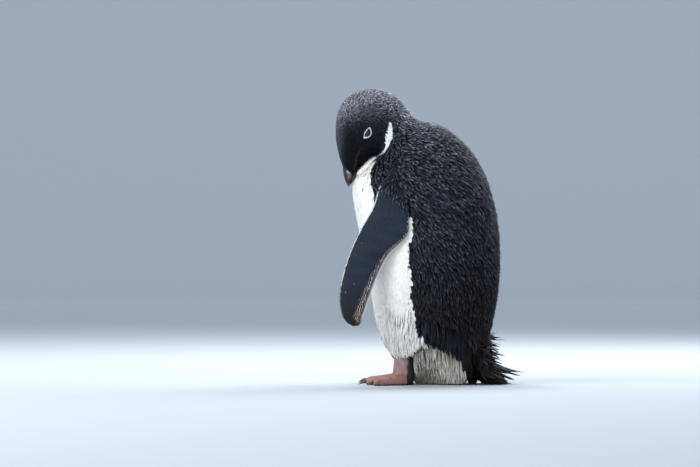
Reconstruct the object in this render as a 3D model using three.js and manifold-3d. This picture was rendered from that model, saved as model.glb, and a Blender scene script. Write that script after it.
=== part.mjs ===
// A standing Adélie penguin, life size, looking down at its feet. Millimetres, +Z up.
// The bird faces -X, its left side is at -Y, and the XZ plane is its plane of symmetry.
// The origin is on the floor, under the middle of the figure's box.
//
// Every form is a loft: a row of oval sections, each one spanned between two opposite
// points of an outline, with its own half width. The solids are the outer form of the
// bird with its plumage, and thin cuts part them where the body's parts meet.

import * as THREE from 'three';
import { mergeVertices } from 'three/addons/utils/BufferGeometryUtils.js';
import Module from 'manifold-3d';

const wasm = await Module();
wasm.setup();

// ---------------------------------------------------------------- driving dimensions

const GAP = 0.3; // clear space between neighbouring solids
const FLOOR = 0; // the level of the soles and of the tail's resting flats
const SIDES = { left: -1, right: 1 }; // sign of Y on each side of the bird

const EYE = { x: -101, y: 29.9, z: 401.5, radius: 7.5 };

const LEG = { y: 34, cutHeight: 24 };
const ANKLE_X = -46;
// A toe's turn is in degrees outwards from straight ahead, and it starts at the ankle.
const TOES = [
  { name: 'inner', turn: -20, length: 50, claw: 12 },
  { name: 'middle', turn: 3, length: 58, claw: 13 },
  { name: 'outer', turn: 27, length: 52, claw: 12 },
];
const HIND_TOE = { name: 'hind', turn: -78, length: 24, claw: 8, slimness: 0.55 };
const DIGITS = [...TOES, HIND_TOE];
const WEB = { thickness: 3.4, reach: 0.86, hollow: 0.7 }; // reach is a share of the toes

// Turns are in degrees away from straight back, and a drop is degrees below level.
const RECTRICES = { count: 15, turn: 36, length: 95.2, width: 10, thickness: 2.6, sag: 6 };
const COVERTS = { count: 12, turn: 40, length: 52, width: 8, thickness: 2.6, sag: 2 };
const COVERT_DROP = { atRump: 8, atFloor: 50 };
const RAGGED = 5; // how much neighbouring tail feathers differ in length

// ---------------------------------------------------------------- lofting

// A section runs from `from` to `to` ([x, z] or [x, y, z]) and is `half` wide on each
// side. `egg` moves its fullest part towards `from` (negative) or `to` (positive), and
// `square` above 2 fills its corners.
const place = (p) => new THREE.Vector3(p[0], p.length === 3 ? p[1] : 0, p[p.length - 1]);

function splineThrough(stations) {
  const curve = (pick) =>
    new THREE.CatmullRomCurve3(stations.map(pick), false, 'catmullrom', 0.5);
  return {
    from: curve((s) => place(s.from)),
    to: curve((s) => place(s.to)),
    shape: curve((s) => new THREE.Vector3(s.half, s.egg ?? 0, s.square ?? 2)),
  };
}

// The points of one section: a superellipse in the plane of its span and the Y axis.
function sectionPoints(splines, t, around) {
  const from = splines.from.getPoint(t);
  const to = splines.to.getPoint(t);
  const { x: half, y: egg, z: square } = splines.shape.getPoint(t);
  const centre = from.clone().add(to).multiplyScalar(0.5);
  const reach = from.clone().sub(centre);
  const power = 2 / square;
  return Array.from({ length: around }, (_, i) => {
    const a = (i / around) * 2 * Math.PI;
    const along = Math.sign(Math.cos(a)) * Math.abs(Math.cos(a)) ** power;
    const out = Math.sign(Math.sin(a)) * Math.abs(Math.sin(a)) ** power;
    const width = half * (1 - egg * along);
    const point = centre.clone().addScaledVector(reach, along);
    point.y += width * out;
    return point;
  });
}

// A closed skin through the stations, with a pole at each end.
function loft(stations, { rings, around }) {
  const splines = splineThrough(stations);
  const points = [];
  const faces = [];
  for (let r = 0; r <= rings; r++) {
    points.push(...sectionPoints(splines, r / rings, around));
  }
  for (let r = 0; r < rings; r++) {
    for (let i = 0; i < around; i++) {
      const j = (i + 1) % around;
      const [near, far] = [r * around, (r + 1) * around];
      faces.push(near + i, near + j, far + i, near + j, far + j, far + i);
    }
  }
  const last = rings * around;
  for (const [ring, flip] of [[0, true], [last, false]]) {
    const pole = points.length;
    const centre = new THREE.Vector3();
    for (let i = 0; i < around; i++) centre.addScaledVector(points[ring + i], 1 / around);
    points.push(centre);
    for (let i = 0; i < around; i++) {
      const j = (i + 1) % around;
      faces.push(...(flip ? [pole, ring + j, ring + i] : [pole, ring + i, ring + j]));
    }
  }
  return facingOut(points, faces);
}

// The geometry with its triangles turned, if need be, so that they face outwards.
function facingOut(points, faces) {
  let volume = 0;
  for (let f = 0; f < faces.length; f += 3) {
    const [a, b, c] = [points[faces[f]], points[faces[f + 1]], points[faces[f + 2]]];
    volume += a.dot(b.clone().cross(c));
  }
  if (volume < 0) faces.reverse();
  const geometry = new THREE.BufferGeometry().setFromPoints(points);
  return geometry.setIndex(faces);
}

// The same skin, moved out along its normals, to cut a neighbour clear of it.
function grown(geometry, by) {
  const copy = geometry.clone();
  copy.computeVertexNormals();
  const { position, normal } = copy.attributes;
  for (let i = 0; i < position.count; i++) {
    const point = new THREE.Vector3().fromBufferAttribute(position, i);
    point.addScaledVector(new THREE.Vector3().fromBufferAttribute(normal, i), by);
    position.setXYZ(i, ...point);
  }
  return copy;
}

// ---------------------------------------------------------------- joining and cutting

function solid(geometry) {
  const bare = geometry.clone().deleteAttribute('normal').deleteAttribute('uv');
  const merged = mergeVertices(bare, 1e-4);
  return new wasm.Manifold(
    new wasm.Mesh({
      numProp: 3,
      vertProperties: new Float32Array(merged.attributes.position.array),
      triVerts: new Uint32Array(merged.index.array),
    }),
  );
}

function geometryOf(manifold) {
  const mesh = manifold.getMesh();
  const positions = new Float32Array(mesh.numVert * 3);
  for (let i = 0; i < mesh.numVert; i++) {
    positions.set(mesh.vertProperties.subarray(i * mesh.numProp, i * mesh.numProp + 3), i * 3);
  }
  return new THREE.BufferGeometry()
    .setAttribute('position', new THREE.BufferAttribute(positions, 3))
    .setIndex(new THREE.BufferAttribute(mesh.triVerts, 1));
}

// A thin slab on the line between two [x, z] points, longer by `margin` at its ends.
function slab(a, b, margin) {
  const run = Math.hypot(b[0] - a[0], b[1] - a[1]);
  const box = new THREE.BoxGeometry(run + 2 * margin, 400, GAP);
  box.rotateY(-Math.atan2(b[1] - a[1], b[0] - a[0]));
  box.translate((a[0] + b[0]) / 2, 0, (a[1] + b[1]) / 2);
  return solid(box);
}

// Everything below the floor, which is cut off to leave flats.
const underFloor = solid(new THREE.BoxGeometry(600, 400, 60).translate(0, 0, FLOOR - 30));

// A geometry of the bird's right side, moved to `side` with its triangles facing outwards.
function onSide(geometry, side) {
  if (side === SIDES.right) return geometry;
  const copy = geometry.clone().scale(1, -1, 1);
  return copy.setIndex(Array.from(copy.index.array).reverse());
}

// The biggest piece, without the slivers that a cut can leave.
const biggest = (manifold) =>
  manifold.decompose().sort((a, b) => b.volume() - a.volume())[0];

// ---------------------------------------------------------------- trunk, neck and head

// One loft from under the vent, up the trunk, over the bent neck and down the face to
// the bill. `from` is on the back, `to` on the front.
const BODY = {
  underVent: { from: [30, 5.5], to: [8, 6], half: 7 },
  vent: { from: [62, 18], to: [-21, 13], half: 38 },
  rump: { from: [84, 46], to: [-30, 34], half: 58 },
  legs: { from: [95, 84], to: [-68, 54], half: 76 },
  loin: { from: [102, 118], to: [-86.5, 98], half: 89 },
  belly: { from: [108, 157], to: [-95.5, 145], half: 97.5, square: 2.1 },
  waist: { from: [110, 200], to: [-104, 190], half: 97.5, square: 2.1 },
  ribs: { from: [108, 244], to: [-113, 235], half: 93.5, square: 2.1 },
  armpit: { from: [101, 287], to: [-121, 275], half: 87, square: 2.1 },
  breast: { from: [86, 335], to: [-125.5, 305], half: 77 },
  shoulder: { from: [58, 380], to: [-123.5, 323], half: 64 },
  neckBase: { from: [16, 413], to: [-113, 337], half: 51 },
  napeFold: { from: [-24, 423.5], to: [-89, 358.5], half: 40 },
  occiput: { from: [-53, 457], to: [-88, 364], half: 37, egg: 0.04 },
  crown: { from: [-90, 472], to: [-94, 362.5], half: 37, egg: 0.06 },
  brow: { from: [-128, 463.5], to: [-101, 357], half: 34.5, egg: 0.08 },
  forehead: { from: [-148.5, 436], to: [-108, 349], half: 30, egg: 0.06 },
  lore: { from: [-152, 398], to: [-115, 341.5], half: 23.5 },
  cheekFront: { from: [-147.5, 369], to: [-120, 337.5], half: 15.5 },
  billBase: { from: [-141.5, 350], to: [-125, 334], half: 9 },
  feathersEnd: { from: [-137, 342], to: [-128, 336.5], half: 4 },
};
const THROAT_FOLD = [-100, 353]; // in the open air between the jaw and the breast
const BODY_RINGS = 42;
const BODY_AROUND = 24;

const bodyForm = loft(Object.values(BODY), { rings: BODY_RINGS, around: BODY_AROUND });
const body = solid(bodyForm);
const bodyWithGap = solid(grown(bodyForm, GAP));

function partBody() {
  const neckCut = slab(BODY.breast.to, BODY.breast.from, 20);
  const headCut = slab(THROAT_FOLD, BODY.napeFold.from, 6);
  const pieces = body.subtract(neckCut).subtract(headCut).decompose();
  const height = (m) => (m.boundingBox().min[2] + m.boundingBox().max[2]) / 2;
  return pieces
    .filter((m) => m.volume() > 1000)
    .sort((a, b) => height(a) - height(b));
}
const [trunk, neck, wholeHead] = partBody();

// ---------------------------------------------------------------- eyes and bill

const eyeball = (side, grow) =>
  new THREE.SphereGeometry(EYE.radius + grow, 14, 8).translate(EYE.x, side * EYE.y, EYE.z);

const head = Object.values(SIDES).reduce(
  (made, side) => made.subtract(solid(eyeball(side, GAP))),
  wholeHead,
);

const UPPER_BILL = [
  { from: [-142, 372], to: [-119, 366], half: 8 },
  { from: [-141.6, 352], to: [-121.8, 347], half: 8 },
  { from: [-140, 336], to: [-124.6, 332.5], half: 6.6 },
  { from: [-136.8, 324], to: [-128.4, 322], half: 4.2 },
  { from: [-132.2, 315], to: [-131, 315.6], half: 1 },
];
const LOWER_BILL = [
  { from: [-118, 365.6], to: [-108, 360], half: 7 },
  { from: [-121, 346.6], to: [-114.5, 341.5], half: 6.8 },
  { from: [-124, 331.8], to: [-120.5, 328.8], half: 5.2 },
  { from: [-129.6, 318.8], to: [-129, 318.6], half: 1 },
];
const billHalf = (stations) =>
  biggest(solid(loft(stations, { rings: 8, around: 10 })).subtract(bodyWithGap));

// ---------------------------------------------------------------- flippers

// Each blade is spanned from its leading edge to its trailing edge, and thickest towards
// the leading one. It hangs forwards from the shoulder, round the breast's side.
const FLIPPER = [
  { from: [-70, 60, 338], to: [-34, 66, 312], half: 5 },
  { from: [-84, 68, 312], to: [-38, 82, 292], half: 6.5, egg: -0.3 },
  { from: [-93, 72, 283], to: [-37.5, 91, 262], half: 7, egg: -0.35 },
  { from: [-114, 77, 245], to: [-41, 92.5, 237], half: 6.5, egg: -0.35 },
  { from: [-130, 81, 210], to: [-68, 90, 210], half: 5.6, egg: -0.35 },
  { from: [-140.5, 84, 177], to: [-86, 89.5, 178], half: 4.8, egg: -0.35 },
  { from: [-145.8, 86.5, 146], to: [-98.5, 89.5, 146], half: 4, egg: -0.3 },
  { from: [-143.5, 88, 117], to: [-108.5, 90, 117], half: 3.2, egg: -0.25 },
  { from: [-136, 89, 102], to: [-114.5, 90, 101.5], half: 2.5, egg: -0.2 },
  { from: [-125.5, 89.5, 95.2], to: [-122, 89.5, 95], half: 1.4 },
];
const flipperForm = loft(FLIPPER, { rings: 20, around: 10 });
const flipper = (side) => biggest(solid(onSide(flipperForm, side)).subtract(bodyWithGap));

// ---------------------------------------------------------------- legs, feet and claws

const SHANK = [
  { from: [-30, LEG.y, 1], to: [-60, LEG.y, 1], half: 9 },
  { from: [-27.5, LEG.y, 7], to: [-62, LEG.y, 5], half: 12.5, square: 2.2 },
  { from: [-27, LEG.y, 22], to: [-60, LEG.y, 26], half: 12, square: 2.2 },
  { from: [-26.5, LEG.y, 44], to: [-58.5, LEG.y, 46], half: 12.5, square: 2.2 },
  { from: [-24, LEG.y, 64], to: [-60, LEG.y, 66], half: 14, square: 2.2 },
];

// A toe lies along -X before it is turned about the ankle: it arches down from the
// instep and ends in a round pad.
const toeStations = (length) => [
  { from: [8, 18], to: [8, -1.5], half: 7 },
  { from: [-0.2 * length, 17], to: [-0.2 * length, -1.5], half: 8 },
  { from: [-0.5 * length, 13.6], to: [-0.5 * length, -1.5], half: 7 },
  { from: [-0.8 * length, 11.6], to: [-0.8 * length, -1.5], half: 6.4 },
  { from: [-0.97 * length, 8.6], to: [-0.97 * length, -1], half: 4.8 },
  { from: [-1.02 * length, 4.6], to: [-1.02 * length, 3], half: 1.6 },
];

// A claw starts inside the toe's end and curves down to its point.
const clawStations = (length, claw) => [
  { from: [-length + 4, 7.6], to: [-length + 4, 2.6], half: 2.2 },
  { from: [-length - 1, 8], to: [-length - 1, 2.6], half: 2.5 },
  { from: [-length - 0.5 * claw, 6.4], to: [-length - 0.45 * claw, 2.2], half: 1.9 },
  { from: [-length - claw, 1.4], to: [-length - 0.95 * claw, 0.7], half: 0.5 },
];

function turnedFromAnkle(geometry, turn) {
  geometry.rotateZ(THREE.MathUtils.degToRad(-turn));
  return geometry.translate(ANKLE_X, LEG.y, 0);
}

// One digit's solid, from a row of stations along it.
function digit(stations, { turn, slimness = 1 }, detail) {
  return turnedFromAnkle(loft(stations, detail).scale(1, slimness, slimness), turn);
}
const toe = (t) => digit(toeStations(t.length), t, { rings: 6, around: 8 });
const claw = (t) => digit(clawStations(t.length, t.claw), t, { rings: 4, around: 6 });

// The web is a thin plate between the toes, hollowed between their tips.
function web() {
  const outline = new THREE.Shape();
  const tip = ({ turn, length }, share) => {
    const a = THREE.MathUtils.degToRad(turn);
    return [-Math.cos(a) * length * share, Math.sin(a) * length * share];
  };
  outline.moveTo(6, 0);
  TOES.forEach((t, i) => {
    if (i > 0) {
      const turn = (t.turn + TOES[i - 1].turn) / 2;
      const length = (t.length + TOES[i - 1].length) / 2;
      outline.quadraticCurveTo(...tip({ turn, length }, WEB.hollow), ...tip(t, WEB.reach));
    } else {
      outline.lineTo(...tip(t, WEB.reach));
    }
  });
  outline.closePath();
  const plate = new THREE.ExtrudeGeometry(outline, {
    depth: WEB.thickness,
    bevelEnabled: false,
    curveSegments: 4,
  });
  return solid(plate.translate(ANKLE_X, LEG.y, FLOOR));
}

// The right limb before anything is cut from it: shank, toes and web in one.
function limbForm() {
  let limb = solid(loft(SHANK, { rings: 8, around: 14 })).add(web());
  for (const t of DIGITS) limb = limb.add(solid(toe(t)));
  return geometryOf(limb);
}

// One limb, cut clear of the floor, the trunk and its claws, and parted at the ankle.
function partLimb(side) {
  let limb = solid(onSide(limbForm(), side)).subtract(underFloor).subtract(bodyWithGap);
  for (const t of DIGITS) limb = limb.subtract(solid(grown(onSide(claw(t), side), GAP)));
  const ankleCut = slab([-90, LEG.cutHeight], [0, LEG.cutHeight], 0);
  const pieces = limb.subtract(ankleCut).decompose().sort((a, b) => b.volume() - a.volume());
  const [foot, leg] = pieces
    .slice(0, 2)
    .sort((a, b) => a.boundingBox().min[2] - b.boundingBox().min[2]);
  return { foot, leg };
}

// ---------------------------------------------------------------- tail

// A short thick root that presses on the floor, a fan of stiff narrow feathers lying
// back from it, and shorter ruffled ones that stick out of its upper side.
const TAIL_ROOT = [
  { from: [74, 93], to: [38, 62], half: 21 },
  { from: [88, 79], to: [44, 44], half: 35 },
  { from: [93, 62], to: [57, 26], half: 41 },
  { from: [98, 44], to: [76, 8], half: 44 },
  { from: [105, 26], to: [92, -2], half: 43 },
  { from: [113, 12], to: [104, -3], half: 34 },
  { from: [119, 4], to: [114, -2], half: 12 },
];

// A narrow feather from `root` to `tip`, hanging by `sag` at its middle.
function quill(root, tip, { width, thickness, sag }) {
  return [0, 0.35, 0.7, 0.9, 1].map((s) => {
    const centre = new THREE.Vector3(...root).lerp(new THREE.Vector3(...tip), s);
    centre.z -= 4 * sag * s * (1 - s);
    const taper = Math.sqrt(1.02 - s ** 3);
    const lift = new THREE.Vector3(0, 0, (thickness * taper) / 2);
    return {
      from: centre.clone().add(lift).toArray(),
      to: centre.clone().sub(lift).toArray(),
      half: (width / 2) * taper,
    };
  });
}

// Uneven but repeatable, between -1 and 1, so that the feathers look ruffled.
const uneven = (k) => Math.sin(7.3 * k + 1.1);

// The rectrices fan out sideways, the middle ones longest and turned up at the tips.
function rectrix(k) {
  const q = (2 * k) / (RECTRICES.count - 1) - 1; // -1 on one side, 1 on the other
  const turn = THREE.MathUtils.degToRad(RECTRICES.turn * q);
  const length = RECTRICES.length * (1 - 0.34 * q * q) + RAGGED * uneven(k);
  const root = [56 + 4 * uneven(k + 3), 24 * q, 66 - 10 * q * q];
  const tipHeight = 15 - 11 * q * q + 8 * uneven(2 * k);
  const tip = [root[0] + length * Math.cos(turn), root[1] + length * Math.sin(turn), tipHeight];
  return quill(root, tip, RECTRICES);
}

// The coverts stick out nearly level at the rump and steeply down near the floor.
function covert(k) {
  const s = k / (COVERTS.count - 1); // 0 at the rump, 1 near the floor
  const q = uneven(3 * k + 0.4);
  const turn = THREE.MathUtils.degToRad(COVERTS.turn * q);
  const drop = THREE.MathUtils.degToRad(
    THREE.MathUtils.lerp(COVERT_DROP.atRump, COVERT_DROP.atFloor, s),
  );
  const length = COVERTS.length + RAGGED * uneven(k);
  const root = [62 + 10 * s, 24 * q, 88 - 44 * s];
  const level = length * Math.cos(drop);
  const tip = [
    root[0] + level * Math.cos(turn),
    root[1] + level * Math.sin(turn),
    root[2] - length * Math.sin(drop),
  ];
  return quill(root, tip, COVERTS);
}

function tail() {
  let fan = solid(loft(TAIL_ROOT, { rings: 8, around: 14 }));
  for (let k = 0; k < RECTRICES.count; k++) {
    fan = fan.add(solid(loft(rectrix(k), { rings: 5, around: 6 })));
  }
  for (let k = 0; k < COVERTS.count; k++) {
    fan = fan.add(solid(loft(covert(k), { rings: 4, around: 6 })));
  }
  return biggest(fan.subtract(underFloor).subtract(bodyWithGap));
}

// ---------------------------------------------------------------- the figure

const finish = (color, roughness, metalness = 0) =>
  new THREE.MeshStandardMaterial({ color, roughness, metalness });
const BLACK_PLUMAGE = finish(0x1c2026, 0.75);
const WHITE_PLUMAGE = finish(0xe9e7e0, 0.85);
const FLIPPER_PLUMAGE = finish(0x252b34, 0.6);
const TAIL_QUILLS = finish(0x171313, 0.5);
const PINK_SKIN = finish(0xc98f80, 0.6);
const BILL_HORN = finish(0x4a2d26, 0.4);
const CLAW_HORN = finish(0x4a3d36, 0.45);
const EYE_GLOSS = finish(0x120d0b, 0.08);

const figure = new THREE.Group();

function addPart(name, geometry, material) {
  const mesh = new THREE.Mesh(geometry, material);
  mesh.name = name;
  figure.add(mesh);
}

addPart('trunk', geometryOf(trunk), WHITE_PLUMAGE);
addPart('neck', geometryOf(neck), BLACK_PLUMAGE);
addPart('head', geometryOf(head), BLACK_PLUMAGE);
addPart('bill_upper', geometryOf(billHalf(UPPER_BILL)), BILL_HORN);
addPart('bill_lower', geometryOf(billHalf(LOWER_BILL)), BILL_HORN);
addPart('tail', geometryOf(tail()), TAIL_QUILLS);
for (const [name, side] of Object.entries(SIDES)) {
  const { foot, leg } = partLimb(side);
  addPart(`eye_${name}`, eyeball(side, 0), EYE_GLOSS);
  addPart(`flipper_${name}`, geometryOf(flipper(side)), FLIPPER_PLUMAGE);
  addPart(`leg_${name}`, geometryOf(leg), PINK_SKIN);
  addPart(`foot_${name}`, geometryOf(foot), PINK_SKIN);
  for (const t of DIGITS) addPart(`claw_${t.name}_${name}`, onSide(claw(t), side), CLAW_HORN);
}

export default figure;
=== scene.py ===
import bpy
import numpy as np
from mathutils.bvhtree import BVHTree
from mathutils.kdtree import KDTree
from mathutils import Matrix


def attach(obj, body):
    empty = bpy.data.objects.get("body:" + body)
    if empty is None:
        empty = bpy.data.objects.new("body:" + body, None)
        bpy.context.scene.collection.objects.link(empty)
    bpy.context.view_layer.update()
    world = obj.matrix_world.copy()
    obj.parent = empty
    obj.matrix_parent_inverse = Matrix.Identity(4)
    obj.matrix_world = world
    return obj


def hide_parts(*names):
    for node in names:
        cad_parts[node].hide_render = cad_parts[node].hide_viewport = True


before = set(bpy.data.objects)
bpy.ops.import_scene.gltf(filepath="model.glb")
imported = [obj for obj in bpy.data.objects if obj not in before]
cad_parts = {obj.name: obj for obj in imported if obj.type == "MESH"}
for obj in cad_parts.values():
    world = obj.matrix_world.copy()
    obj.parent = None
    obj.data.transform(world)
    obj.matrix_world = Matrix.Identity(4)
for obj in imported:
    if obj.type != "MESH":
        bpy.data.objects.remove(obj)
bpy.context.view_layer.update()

# ---------------------------------------------------------------- the studio
# A pale sweep of paper under four soft lights: a key above and before the bird, a broad fill
# from the camera's side, and two from above and behind. The camera stands level with the
# middle of the bird, six metres off to its left side.

MM = 0.001
PIXEL = 1.6 * MM  # what one of the frame's columns spans at the bird
COLUMNS, ROWS = 700, 467  # the frame
ORIGIN_COLUMN, ORIGIN_ROW = 431, 384  # where the origin shows in the frame
DISTANCE = 6.0
camera_data = bpy.data.cameras.new("camera")
camera_data.sensor_width = 36
camera_data.lens = camera_data.sensor_width * DISTANCE / (COLUMNS * PIXEL)
camera_data.clip_end = 100
camera = bpy.data.objects.new("camera", camera_data)
camera.location = ((COLUMNS / 2 - ORIGIN_COLUMN) * PIXEL, -DISTANCE, (ORIGIN_ROW - ROWS / 2) * PIXEL)
camera.rotation_euler = (np.pi / 2, 0, 0)
bpy.context.scene.collection.objects.link(camera)
bpy.context.scene.camera = camera
bpy.context.scene.view_settings.view_transform = "Standard"

world = bpy.data.worlds.new("studio")
world.use_nodes = True
world.node_tree.nodes["Background"].inputs["Color"].default_value = (0.78, 0.88, 1.0, 1)
world.node_tree.nodes["Background"].inputs["Strength"].default_value = 0.56
bpy.context.scene.world = world


class Paint:
    """One socket of a material's nodes: arithmetic on it adds Math nodes."""

    def __init__(self, tree, socket=None):
        self.tree, self.socket = tree, socket

    def node(self, kind, sockets=(), output=0, stops=(), **settings):
        """Adds a node: its settings and ramp stops first, then its sockets' values or links."""
        made = self.tree.nodes.new(kind)
        for name, value in settings.items():
            setattr(made, name, value)
        for k, (place, colour) in enumerate(stops):
            stop = made.color_ramp.elements[k] if k < 2 else made.color_ramp.elements.new(place)
            stop.position, stop.color = place, (*colour, 1)
        for name, value in dict(sockets).items():
            if isinstance(value, Paint):
                self.tree.links.new(value.socket, made.inputs[name])
            else:
                made.inputs[name].default_value = value
        return Paint(self.tree, made.outputs[output])

    def math(self, operation, *values):
        """A Math node on this value and the others."""
        return self.node("ShaderNodeMath", enumerate((self, *values)), operation=operation)

    def axis(self, which):
        """This place's x, y or z."""
        return self.node("ShaderNodeSeparateXYZ", {"Vector": self}, which)

    def noise(self, scale, detail):
        """Cloudy noise at this place."""
        return self.node("ShaderNodeTexNoise", {"Vector": self, "Scale": scale, "Detail": detail})

    def ramp(self, *stops):
        """The colour for this value, blended between stops: each is a value and a colour."""
        return self.node("ShaderNodeValToRGB", {0: self}, stops=stops)

    def tinted(self, share, colour):
        """This colour multiplied by another one, by a share."""
        sockets = {0: share, 6: self, 7: (*colour, 1)}
        return self.node("ShaderNodeMix", sockets, 2, data_type="RGBA", blend_type="MULTIPLY")

    def bump(self, strength, distance):
        """The normal over this height."""
        return self.node("ShaderNodeBump", {"Height": self, "Strength": strength, "Distance": distance})

    def __add__(self, other):
        return self.math("ADD", other)

    def __sub__(self, other):
        return self.math("SUBTRACT", other)

    def __mul__(self, other):
        return self.math("MULTIPLY", other)


def linear(*srgb):
    """A colour's linear light from its screen values of 0 to 255."""
    share = np.array(srgb, float) / 255
    return np.where(share <= 0.04045, share / 12.92, ((share + 0.055) / 1.055) ** 2.4)


def material(name, **constants):
    """A new material, its shader, and a Paint on the place in metres. Constants go on the
    shader's sockets."""
    made = bpy.data.materials.new(name)
    made.use_nodes = True
    shader = made.node_tree.nodes["Principled BSDF"]
    for key, value in constants.items():
        shader.inputs[key.replace("_", " ")].default_value = value
    return made, shader, Paint(made.node_tree).node("ShaderNodeTexCoord", output=3)


def feed(shader, **sockets):
    """Links paints to the shader's sockets of those names."""
    for key, value in sockets.items():
        value.tree.links.new(value.socket, shader.inputs[key.replace("_", " ")])


def put_mesh(name, points, faces, *finishes):
    """A new object at the origin with these points, in mm, smooth faces of three or four
    corners, given as one array for each corner count, and materials."""
    mesh = bpy.data.meshes.new(name)
    corners = np.concatenate([np.asarray(f, np.int32).ravel() for f in faces])
    totals = np.concatenate([np.full(len(f), np.shape(f)[1], np.int32) for f in faces])
    mesh.vertices.add(len(points))
    mesh.vertices.foreach_set("co", (np.asarray(points) * MM).ravel().astype(np.float32))
    mesh.loops.add(len(corners))
    mesh.loops.foreach_set("vertex_index", corners)
    mesh.polygons.add(len(totals))
    mesh.polygons.foreach_set("loop_start", np.concatenate([[0], np.cumsum(totals)[:-1]]))
    mesh.polygons.foreach_set("use_smooth", np.full(len(totals), True))
    mesh.update(calc_edges=True)
    for finish in finishes:
        mesh.materials.append(finish)
    piece = bpy.data.objects.new(name, mesh)
    bpy.context.scene.collection.objects.link(piece)
    return piece


def grid_quads(rows, columns, closed):
    """Four-cornered faces between the points of a grid, the last column joined to the first
    where it is closed."""
    across = np.arange(columns if closed else columns - 1)
    i, j = np.meshgrid(np.arange(rows - 1), across, indexing="ij")
    a, b = i * columns + j, i * columns + (j + 1) % columns
    return np.stack([a, b, b + columns, a + columns], -1).reshape(-1, 4)


def soft_light(name, place, aim, size, power, colour):
    """A square area light at a place, turned to face a point."""
    data = bpy.data.lights.new(name, "AREA")
    data.size, data.energy, data.color = size, power, colour
    light = bpy.data.objects.new(name, data)
    x, y, z = np.array(place) - np.array(aim)
    light.location = place
    light.rotation_euler = (np.arctan2(np.hypot(x, y), z), 0, np.arctan2(x, -y))
    bpy.context.scene.collection.objects.link(light)


soft_light("key", (-2.1, -1.6, 1.6), (0, 0, 0.25), 1.8, 64, (1, 0.99, 0.98))
soft_light("fill", (-0.9, -3.9, 0.6), (-0.05, 0, 0.25), 2.2, 58, (0.97, 0.98, 1))
soft_light("top", (-0.4, 1.0, 2.4), (-0.05, 0, 0.4), 1.0, 50, (0.95, 0.97, 1))
soft_light("back", (1.0, 1.4, 1.7), (0, 0, 0.3), 1.2, 40, (0.9, 0.95, 1))

FRONT, BACK, CURVE, HALF_WIDTH = -12, 9, 3, 14  # the paper's level part and bend, in metres
WALL = [4, 6, 9]  # the heights of its upright part
bend = np.linspace(0, np.pi / 2, 16)[1:]
depth = np.concatenate([np.linspace(FRONT, BACK, 22), BACK + CURVE * np.sin(bend), 3 * [BACK + CURVE]])
rise = np.concatenate([np.zeros(22), CURVE * (1 - np.cos(bend)), WALL])
across = np.linspace(-HALF_WIDTH, HALF_WIDTH, 10)[:, None]
sweep = np.stack([across + 0 * depth, depth + 0 * across, rise + 0 * across], -1)
paper, shader, place = material("paper", Roughness=0.9)
tone = (place.axis(1) + 1) * 0.12 + place.noise(3.0, 3.0) * 0.06
feed(shader, Base_Color=tone.ramp((0.1, (0.44, 0.48, 0.52)), (0.9, (0.76, 0.80, 0.85))))
floor = put_mesh("floor", sweep.reshape(-1, 3) / MM, [grid_quads(len(across), len(depth), False)], paper)

# ---------------------------------------------------------------- the body under its plumage
# A penguin's flesh is one smooth spindle from the vent to the bill, bent over at the neck.
# It is lofted through oval sections, each spanned from a point of the back to a point of the
# front, and lies inside the plumage's outer form by the depth of the coat there.

BODY = {  # back x, z; front x, z; half width; egg, narrower behind; the oval's power
    "under_vent": (30, 5.5, 8, 6, 7, 0, 2),
    "vent": (62, 18, -21, 13, 38, 0, 2),
    "rump": (84, 46, -30, 34, 58, 0, 2),
    "legs": (95, 84, -68, 54, 76, 0, 2),
    "loin": (102, 118, -86.5, 98, 89, 0, 2),
    "belly": (108, 157, -95.5, 145, 97.5, 0, 2.1),
    "waist": (110, 200, -104, 190, 97.5, 0, 2.1),
    "ribs": (108, 244, -113, 235, 93.5, 0, 2.1),
    "armpit": (101, 287, -121, 275, 87, 0, 2.1),
    "breast": (86, 335, -125.5, 305, 77, 0, 2),
    "shoulder": (58, 380, -123.5, 323, 64, 0, 2),
    "neck_base": (16, 413, -113, 337, 51, 0, 2),
    "nape_fold": (-24, 423.5, -89, 358.5, 40, 0, 2),
    "occiput": (-53, 457, -88, 364, 37, 0.04, 2),
    "crown": (-90, 472, -94, 362.5, 37, 0.06, 2),
    "brow": (-128, 463.5, -101, 357, 34.5, 0.08, 2),
    "forehead": (-148.5, 436, -108, 349, 30, 0.06, 2),
    "lore": (-152, 398, -115, 341.5, 23.5, 0, 2),
    "cheek_front": (-147.5, 369, -120, 337.5, 15.5, 0, 2),
    "bill_base": (-141.5, 350, -125, 334, 9, 0, 2),
    "feathers_end": (-137, 342, -128, 336.5, 4, 0, 2),
}
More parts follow.
